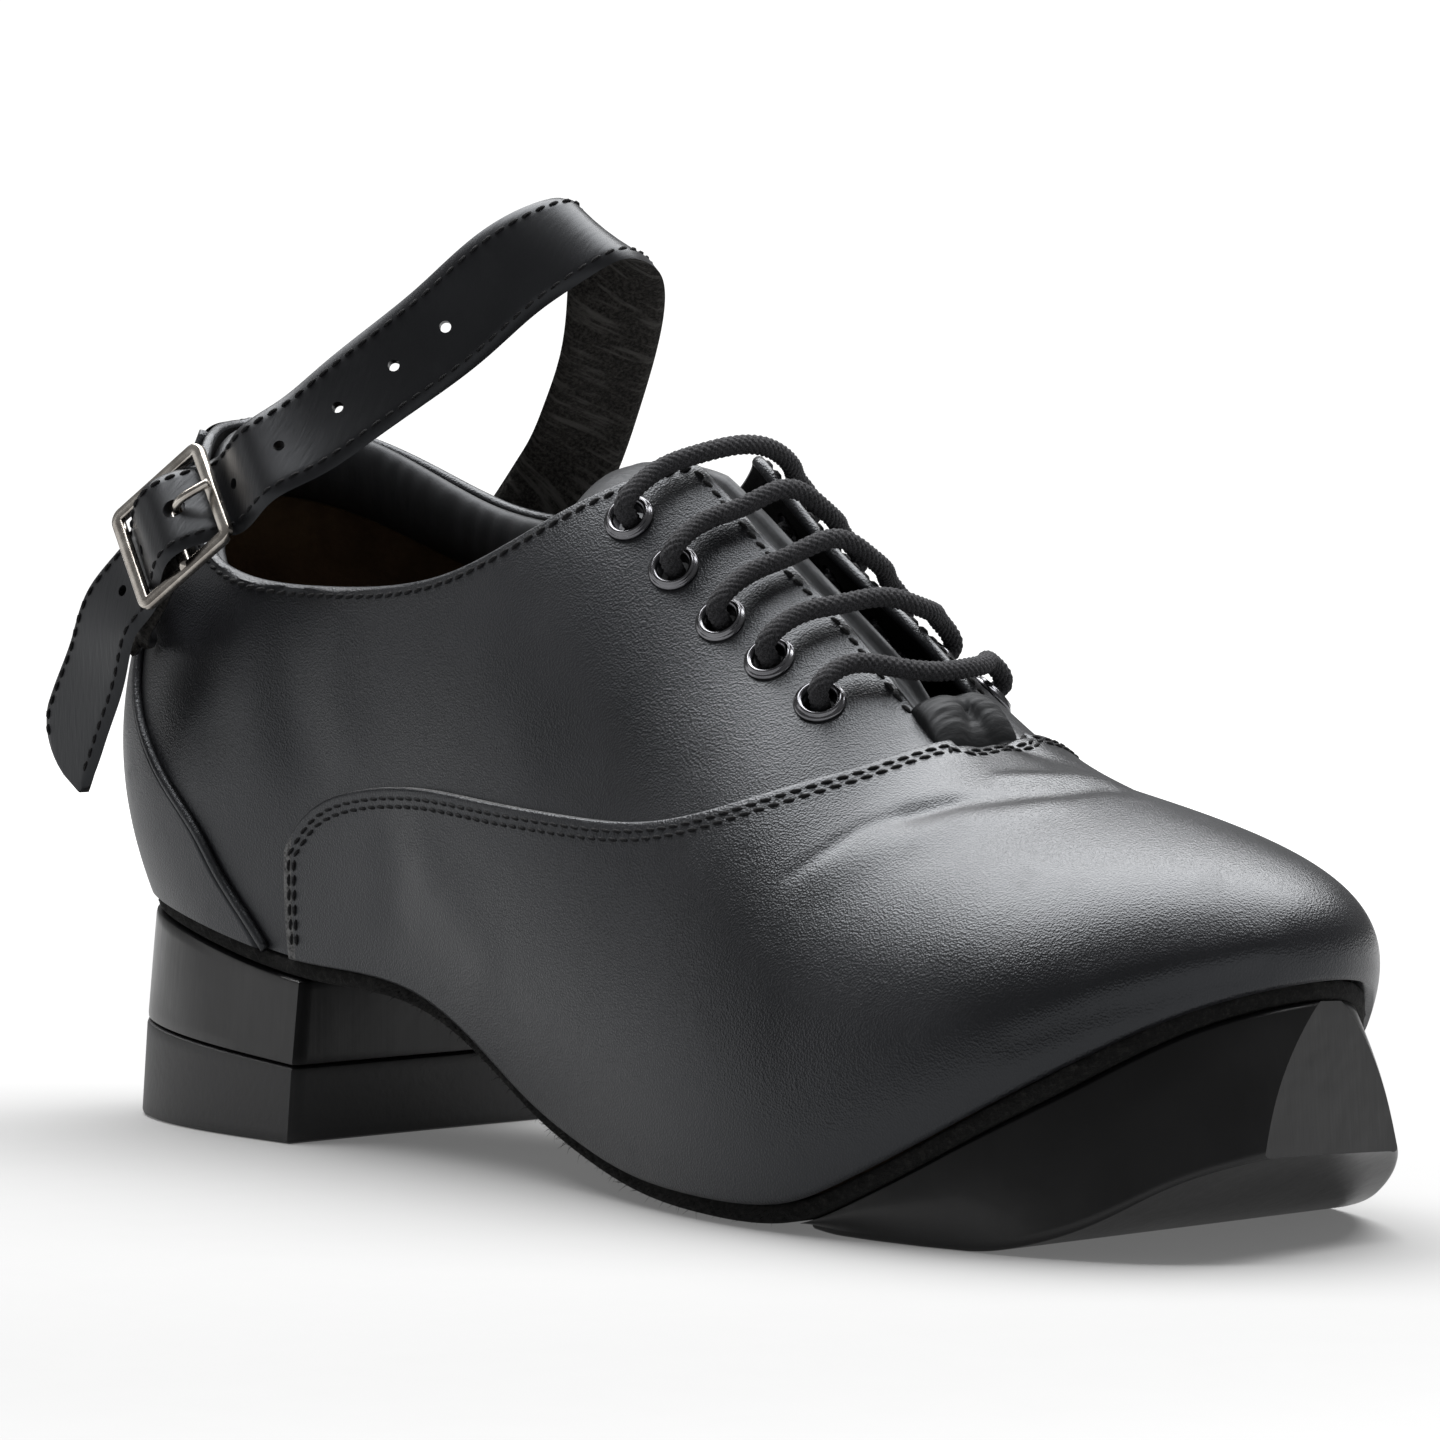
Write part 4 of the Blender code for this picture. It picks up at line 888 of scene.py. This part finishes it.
top_x, top_y, low_x, low_y, low_z = (spline(tip_rows, column)(at) for column in range(1, 6))
tip_top = np.stack([top_x, top_y, under_sole(top_x)], -1)
tip_low = np.stack([low_x, low_y, np.maximum(low_z, 0)], -1)
way = unit(np.gradient(tip_low * (1, 1, 0), axis=0))
tip_side = np.cross(way, UP)
rings = []
for share in np.linspace(0, 1, 26):
    shape = tip_top * (1 - share) + (tip_low + 0.9 * UP) * share
    rings.append(shape + tip_side * 0.7 * math.sin(math.pi * share))
for inset, level in ((0.12, 0.45), (0.45, 0.12), (1.0, 0.0)):
    rings.append(tip_low - tip_side * inset + level * UP)
tip = piece("toe_tip_gloss", rings, [gloss, satin], capped(rings))
cut_normal = (TIP_FACET[1] - TIP_FACET[0]).cross(TIP_FACET[2] - TIP_FACET[0]).normalized()
shaped = bmesh.new()
shaped.from_mesh(tip.data)
cut = bmesh.ops.bisect_plane(
    shaped, geom=shaped.verts[:] + shaped.edges[:] + shaped.faces[:], plane_co=TIP_FACET[0],
    plane_no=cut_normal, clear_outer=True,
)
rim_edges = [e for e in cut["geom_cut"] if isinstance(e, bmesh.types.BMEdge)]
facet = bmesh.ops.contextual_create(shaped, geom=rim_edges, mat_nr=1)
for face in shaped.faces:
    face.smooth = face.material_index == 0
for rim_edge in filter(lambda edge: edge.is_valid, rim_edges):
    rim_edge.smooth = False
bmesh.ops.recalc_face_normals(shaped, faces=shaped.faces)
shaped.to_mesh(tip.data)
shaped.free()
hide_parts("toe_tip")

# Lace: one round braided polyester cord in five bars over the instep, down through the eyelets and up
# the next; its two hidden ends stop under the top eyelets.
LACE_R = 1.55
LACE_BAR = [
    # y, forward, lift
    (-15.4, 2, 4.6), (-9, 5.2, 3.7), (-1, 7.4, 3.1), (6, 7.2, 3.4), (11.5, 5.2, 4.2), (15.6, 2.2, 4.7),
]
braid = Finish("braided cord", {"Roughness": 0.9, "Specular IOR Level": 0.3})
hair = braid.noise(4200.0, 4.0)
braid.set({
    "Base Color": braid.mix(hair.ramp(), (0.007, 0.007, 0.008), (0.045, 0.045, 0.049)),
    "Normal": braid.bump(hair, 0.0002, 0.7),
})
route = []
for number, x in enumerate(EYELET_X):
    bar = [(x + forward, y, height(x + forward, y) + lift) for y, forward, lift in LACE_BAR]
    for side in (-1, 1):
        centre, axis = drape(x, side * EYELET_Y)
        ends = [centre + axis * rise for rise in (-3.0, -1.2, 0.8, 2.4)]
        bar = ends + bar if side < 0 else bar + ends[::-1]
    if number % 2 == 1:
        bar.reverse()
    route += bar
    if number + 1 < len(EYELET_X):
        side = 1 if number % 2 == 0 else -1
        centre, axis = drape((x + EYELET_X[number + 1]) / 2, side * EYELET_Y)
        route.append(centre - axis * (WALL + GAP + LACE_R + 0.4))


def plait(around, run):
    """Strands crossing both ways round the cord."""
    crossing = np.abs(np.sin(4 * around + run * 2.7) * np.sin(4 * around - run * 2.7))
    return 0.84 + 0.19 * crossing**0.6


lace = hose("lace_braid", evenly(route, 0.17), LACE_R, braid, 48, plait)
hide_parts("lace")

# Ankle strap: 2 mm leather with both edges stitched and seven punched holes, finished on its outer side and
# raw suede beneath, that suede with painted highlight streaks along its wrinkles; it rises from the inner
# wall, passes the buckle and ends in a rounded tail.
STRAP_WIDTH = 16.0
STRAP_THICK = 2.0
STRAP_FOOT = [
    # x, z on the inner wall
    (-3, 75), (0, 79.5), (3.2, 84), (6.6, 88.6),
]
STRAP = [
    # x y z, across x y z
    (18, 35, 105, 0.74, 0.62, -0.15), (29, 32.5, 117.5, 0.50, 0.84, -0.10),
    (38.5, 28, 127.5, 0.42, 0.88, -0.10), (45.2, 23.5, 136, 0.50, 0.78, -0.25),
    (50, 18.2, 143.2, 0.68, 0.50, -0.45), (52.4, 12, 146.5, 0.77, 0.20, -0.60),
    (50.4, 6, 144.5, 0.66, 0.26, -0.70), (46, -0.6, 139.6, 0.50, 0.38, -0.78),
    (40.4, -7.6, 131.6, 0.50, 0.33, -0.80), (35.2, -14.2, 125, 0.55, 0.20, -0.80),
    (30.2, -21, 118.6, 0.60, 0.08, -0.79), (25.6, -27.4, 112.8, 0.65, -0.04, -0.75),
    (21.4, -32.2, 109, 0.68, -0.12, -0.72),
]
STRAP_END = [
    # x y z, across x y z
    (-8.2, -38.4, 84.6, 0.90, -0.08, -0.42), (-12.6, -38.2, 76.2, 0.96, -0.02, -0.28),
    (-17.4, -38, 68, 0.98, 0.02, -0.16), (-22.6, -38, 57, 0.98, 0.02, -0.14),
]
BUCKLE_AT = np.array([6.0, -37.4, 98.6])
BUCKLE_ALONG = (0.744, 0.265, 0.611)
BUCKLE_ACROSS = (0.686, -0.185, -0.706)
BUCKLE_LONG = 21.5
BUCKLE_WIDE = 21.0
BUCKLE_BAR = 2.2
BUCKLE_THICK = 2.0
WEAVE = 2.9
HOLE_PITCH = 11.0
HOLE_COUNTS = (-2, -1, 1, 2, 3, 4, 5)
PRONG_HOLE = 3.4
strap_leather = leather("strap leather", (0.0035, 0.0035, 0.004), 0.40, 0.6, 0.35)
scratch = strap_leather.noise(1.0, 2.0, strap_leather.stretched((1500, 240, 240), (0.3, 0.2, 0.6)))
strap_leather.set({"Normal": strap_leather.bump(scratch, 0.00018, 0.3)})
suede = Finish("suede underside", {"Roughness": 0.97, "Specular IOR Level": 0.1})
pile = suede.noise(1700.0, 5.0, rough=0.7)
slanted = {"Vector": suede.place, "Rotation": (0, 1.04, 0), "Scale": (1 / 110, 1 / 110, 1 / 800)}
wrinkles_and_glints = suede.noise(1.0, 3.0, suede.node("Mapping", {"vector_type": "TEXTURE"}, slanted))
# Base colour: the lighter slanted streaks along the wrinkles are painted highlights, glints of light painted
# on the wrinkled underside.
suede.set({
    "Base Color": suede.mix(
        wrinkles_and_glints.ramp(0.48, 0.72),
        suede.mix(pile.ramp(0.35, 0.7), (0.007, 0.0066, 0.0063), (0.040, 0.038, 0.035)),
        (0.060, 0.058, 0.055),
    ),
    "Normal": suede.bump(pile * 0.5 + wrinkles_and_glints * 0.8, 0.0012, 0.8),
})
WALL_TREE = grid_tree(rib(np.linspace(0.0, 1.0, 240)[:, None], np.linspace(0.05, 0.95, 60)[None, :]))


def on_wall(places, side, lift):
    """Strap rows over places (x, z) of the outer (-1) or inner (1) wall, lifted off it."""
    points = []
    normals = []
    for x, z in places:
        point, normal, _, _ = WALL_TREE.ray_cast(Vector((x, side * 100.0, z)), Vector((0, -side, 0)))
        normal = np.array(normal) * np.sign(normal.y * side)
        points.append(np.array(point) + normal * lift)
        normals.append(normal)
    across = np.cross(np.gradient(np.array(points), axis=0), normals)
    across = unit(across * np.sign(across[:, :1]))
    return [(*point, *line) for point, line in zip(points, across)]


def strap_band(name, rows, width, shift=0.0):
    """Flat strap with rounded edges along rows of centre and across vector; face side first."""
    centre = rows[:, :3]
    along = unit(np.gradient(centre, axis=0))
    across = rows[:, 3:6]
    across = unit(across - along * np.sum(across * along, axis=1, keepdims=True))
    face = np.cross(along, across)
    centre = centre + across * np.broadcast_to(shift, len(rows))[:, None]
    side = np.linspace(-1, 1, 14)
    soft = np.sqrt(1 - np.abs(side) ** 12)
    rings = [centre[:1].repeat(28, 0)]
    for k in range(len(rows)):
        flat = np.outer(side * width[k] / 2, across[k])
        rise = np.outer(soft * STRAP_THICK / 2, face[k])
        rings.append(centre[k] + np.concatenate([flat + rise, (flat - rise)[::-1]]))
    rings.append(centre[-1:].repeat(28, 0))
    made = piece(name, rings, [strap_leather, suede])
    for polygon in made.data.polygons:
        spot = np.array(polygon.center) / MM
        k = int(np.argmin(((centre - spot) ** 2).sum(1)))
        polygon.material_index = int((spot - centre[k]) @ face[k] < -0.2)
    return made, centre, across, face


along = unit(np.array(BUCKLE_ALONG))
across = np.array(BUCKLE_ACROSS)
across = unit(across - along * (across @ along))
face = np.cross(across, along)
half_long = BUCKLE_LONG / 2 - BUCKLE_BAR / 2
rows = on_wall(STRAP_FOOT, 1, GAP + STRAP_THICK / 2) + STRAP
for share, rise in ((1.0, -1.0), (0.5, 0.3), (0.0, 1.0), (-0.5, 0.3), (-1.0, -1.0)):
    rows.append((*(BUCKLE_AT + along * half_long * share + face * WEAVE * rise), *across))
rows = evenly(rows + STRAP_END, 0.8)
run = lengths(rows[:, :3])
end = np.clip((run - run[-1] + 9.0) / 9.0, 0, 1)
width = STRAP_WIDTH * np.sqrt(1 - np.minimum(end, 0.999) ** 1.7)
strap, centre, strap_across, strap_face = strap_band(
    "strap_leather_band", rows, width, (STRAP_WIDTH - width) * 0.4
)
pierced = BUCKLE_AT + along * PRONG_HOLE
start = run[np.argmin(np.linalg.norm(centre - pierced, axis=1))]
nearest = [int(np.argmin(abs(run - start + count * HOLE_PITCH))) for count in HOLE_COUNTS]
cut_holes(strap, [(centre[k], strap_face[k]) for k in nearest], 0.95, 3.0)
cut_holes(strap, [(pierced, face)], 1.7, 6.0)
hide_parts("ankle_strap")
for label, side in (("rear", -1), ("front", 1)):
    line = centre + strap_across * (side * np.maximum(width[:, None] / 2 - 1.7, 0.3))
    line = (line + strap_face * STRAP_THICK / 2)[2:-4]
    stitches(f"strap_seam_{label}", line, strap_face[2:-4], 2.6, 0.27, 0.1, 0.8)

# Anchor strap: a short stiff piece on the outer side, sewn to the quarter's heel edge, whose loop holds
# the buckle's middle bar.
ANCHOR_WIDTH = 14.0
ANCHOR_FOOT = [
    # x, z on the outer wall
    (-19, 80.4), (-15.5, 83.4),
]
ANCHOR_RISE = [
    # along, out from the middle bar
    (-16.6, -8.2), (-9.7, -5.5), (-4.8, -3.3), (-1.5, -2.6), (1.1, -2.45),
]
rows = on_wall(ANCHOR_FOOT, -1, 2 * GAP + 1.0 + STRAP_THICK / 2)
rows += [(*(BUCKLE_AT + along * shift + face * out), *across) for shift, out in ANCHOR_RISE]
rows = evenly(rows, 0.7)
anchor = strap_band("anchor_leather", rows, np.full(len(rows), ANCHOR_WIDTH))[0]
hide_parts("anchor_strap")

# Buckle: a stamped nickel frame with a middle bar, and a prong of round wire that turns on the bar and
# rests on the far end of the frame through the strap's hole.
nickel = Finish("polished nickel", {"Metallic": 1.0})
wear = nickel.noise(330.0, 5.0)
nickel.set({
    "Base Color": nickel.mix(wear.ramp(), (0.34, 0.31, 0.28), (0.50, 0.47, 0.43)),
    "Roughness": 0.16 + wear * 0.16,
    "Normal": nickel.bump(wear, 0.0002, 0.15),
})
CORNER_R = 1.2
PRONG = ((2.7, -0.5), (3.2, 1.2), (3.8, 2.6), (5.2, 3.3), (7.6, 3.0), (10.8, 2.0))
half_wide = BUCKLE_WIDE / 2 - BUCKLE_BAR / 2
around = circle(16)
flat_cos = np.sign(np.cos(around)) * np.abs(np.cos(around)) ** 0.4 * BUCKLE_BAR / 2
flat_sin = np.sign(np.sin(around)) * np.abs(np.sin(around)) ** 0.4 * BUCKLE_THICK * 0.4
rings = []
for cx, cy, begin in ((1, 1, 0), (-1, 1, 90), (-1, -1, 180), (1, -1, 270)):
    corner = BUCKLE_AT + along * cx * (half_long - CORNER_R) + across * cy * (half_wide - CORNER_R)
    for angle in np.radians(np.linspace(begin, begin + 90, 9)):
        side = along * math.cos(angle) + across * math.sin(angle)
        rings.append(corner + side * CORNER_R + np.outer(flat_cos, side) + np.outer(flat_sin, face))
buckle = piece("buckle_frame_nickel", rings, nickel, None, (True, True))
bar = np.linspace(-half_wide, half_wide, 12)[:, None] * across + BUCKLE_AT
hose("buckle_bar", bar, 1.05, nickel, 16)
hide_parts("buckle_frame")
wire = evenly([BUCKLE_AT + along * s + face * n for s, n in PRONG], 0.3)
prong = hose("prong_wire", wire, 0.75, nickel, 16)
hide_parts("buckle_prong")

# Photograph: a grey floor that glows, faintly near the shoe and fully white away from it, a painted glow
# that leaves painted shade round the shoe; a white surround that lights the shoe only faintly, two soft
# lights, and the camera of the photo.
floor = bpy.data.meshes.new("floor")
floor.from_pydata([(-3, -3, 0), (3, -3, 0), (3, 3, 0), (-3, 3, 0)], [], [(0, 1, 2, 3)])
glowing_floor = Finish("glowing floor", {"Base Color": (0.27, 0.27, 0.27), "Emission Strength": 1.0})
# The floor's emission is painted light: a glow that grows from 0.13 near the shoe to full white away from
# it, so painted shade round the shoe and painted light beyond.
away = glowing_floor.node("VectorMath", {"operation": "LENGTH"}, {0: glowing_floor.place}, out="Value")
glowing_floor.set({"Emission Color": glowing_floor.mix(away.ramp(0.25, 0.75), (0.13, 0.13, 0.13), (1, 1, 1))})
glowing_floor.set({"Roughness": 0.7 + glowing_floor.noise(90.0, 2.0) * 0.1})
floor.materials.append(glowing_floor.material)
shown("floor", floor)
world = bpy.data.worlds.new("studio")
world.use_nodes = True
nodes = world.node_tree.nodes
seen = nodes.new("ShaderNodeLightPath")
strength = nodes.new("ShaderNodeMapRange")
strength.inputs["To Min"].default_value = 0.2
strength.inputs["To Max"].default_value = 1.1
nodes["Background"].inputs["Color"].default_value = (1, 1, 1, 1)
world.node_tree.links.new(seen.outputs["Is Camera Ray"], strength.inputs["Value"])
world.node_tree.links.new(strength.outputs[0], nodes["Background"].inputs["Strength"])
bpy.context.scene.world = world
CAMERA_TURN, CAMERA_RISE, CAMERA_ROLL = (math.radians(angle) for angle in (47.2, 3.15, 0.28))
level = math.cos(CAMERA_RISE)
back = Vector((math.sin(CAMERA_TURN) * level, -math.cos(CAMERA_TURN) * level, math.sin(CAMERA_RISE)))
right = Vector((math.cos(CAMERA_TURN), math.sin(CAMERA_TURN), 0))
up = back.cross(right)
LIGHTS = [
    # place (m), aim (m), width, depth, power
    ((-0.12, 0.22, 1.05), (0.08, 0.00, 0.05), 1.8, 0.95, 52.0),
    ((-1.10, -0.90, 0.30), (0.05, 0.00, 0.05), 0.6, 0.5, 1.0),
]
for number, (place, aim, wide, tall, power) in enumerate(LIGHTS):
    data = bpy.data.lights.new(f"soft light {number + 1}", "AREA")
    data.shape = "RECTANGLE"
    data.size = wide
    data.size_y = tall
    data.energy = power
    lamp = shown(data.name, data)
    beam = (Vector(place) - Vector(aim)).normalized()
    wide_way = (right - beam * right.dot(beam)).normalized()
    turned = Matrix((wide_way, beam.cross(wide_way), beam)).transposed().to_4x4()
    lamp.matrix_world = Matrix.Translation(place) @ turned
lens = bpy.data.cameras.new("camera")
lens.sensor_width = 36
lens.lens = 162.5
lens.clip_start = 0.05
camera = shown("camera", lens)
roll_cos, roll_sin = math.cos(CAMERA_ROLL), math.sin(CAMERA_ROLL)
sight = Matrix((right * roll_cos + up * roll_sin, up * roll_cos - right * roll_sin, back))
sight = sight.transposed().to_4x4()
sight.translation = Vector((0.096, 0.0, 0.070)) + back * 1.010
camera.matrix_world = sight
bpy.context.scene.camera = camera
bpy.context.scene.view_settings.view_transform = "Standard"
bpy.context.scene.view_settings.look = "None"
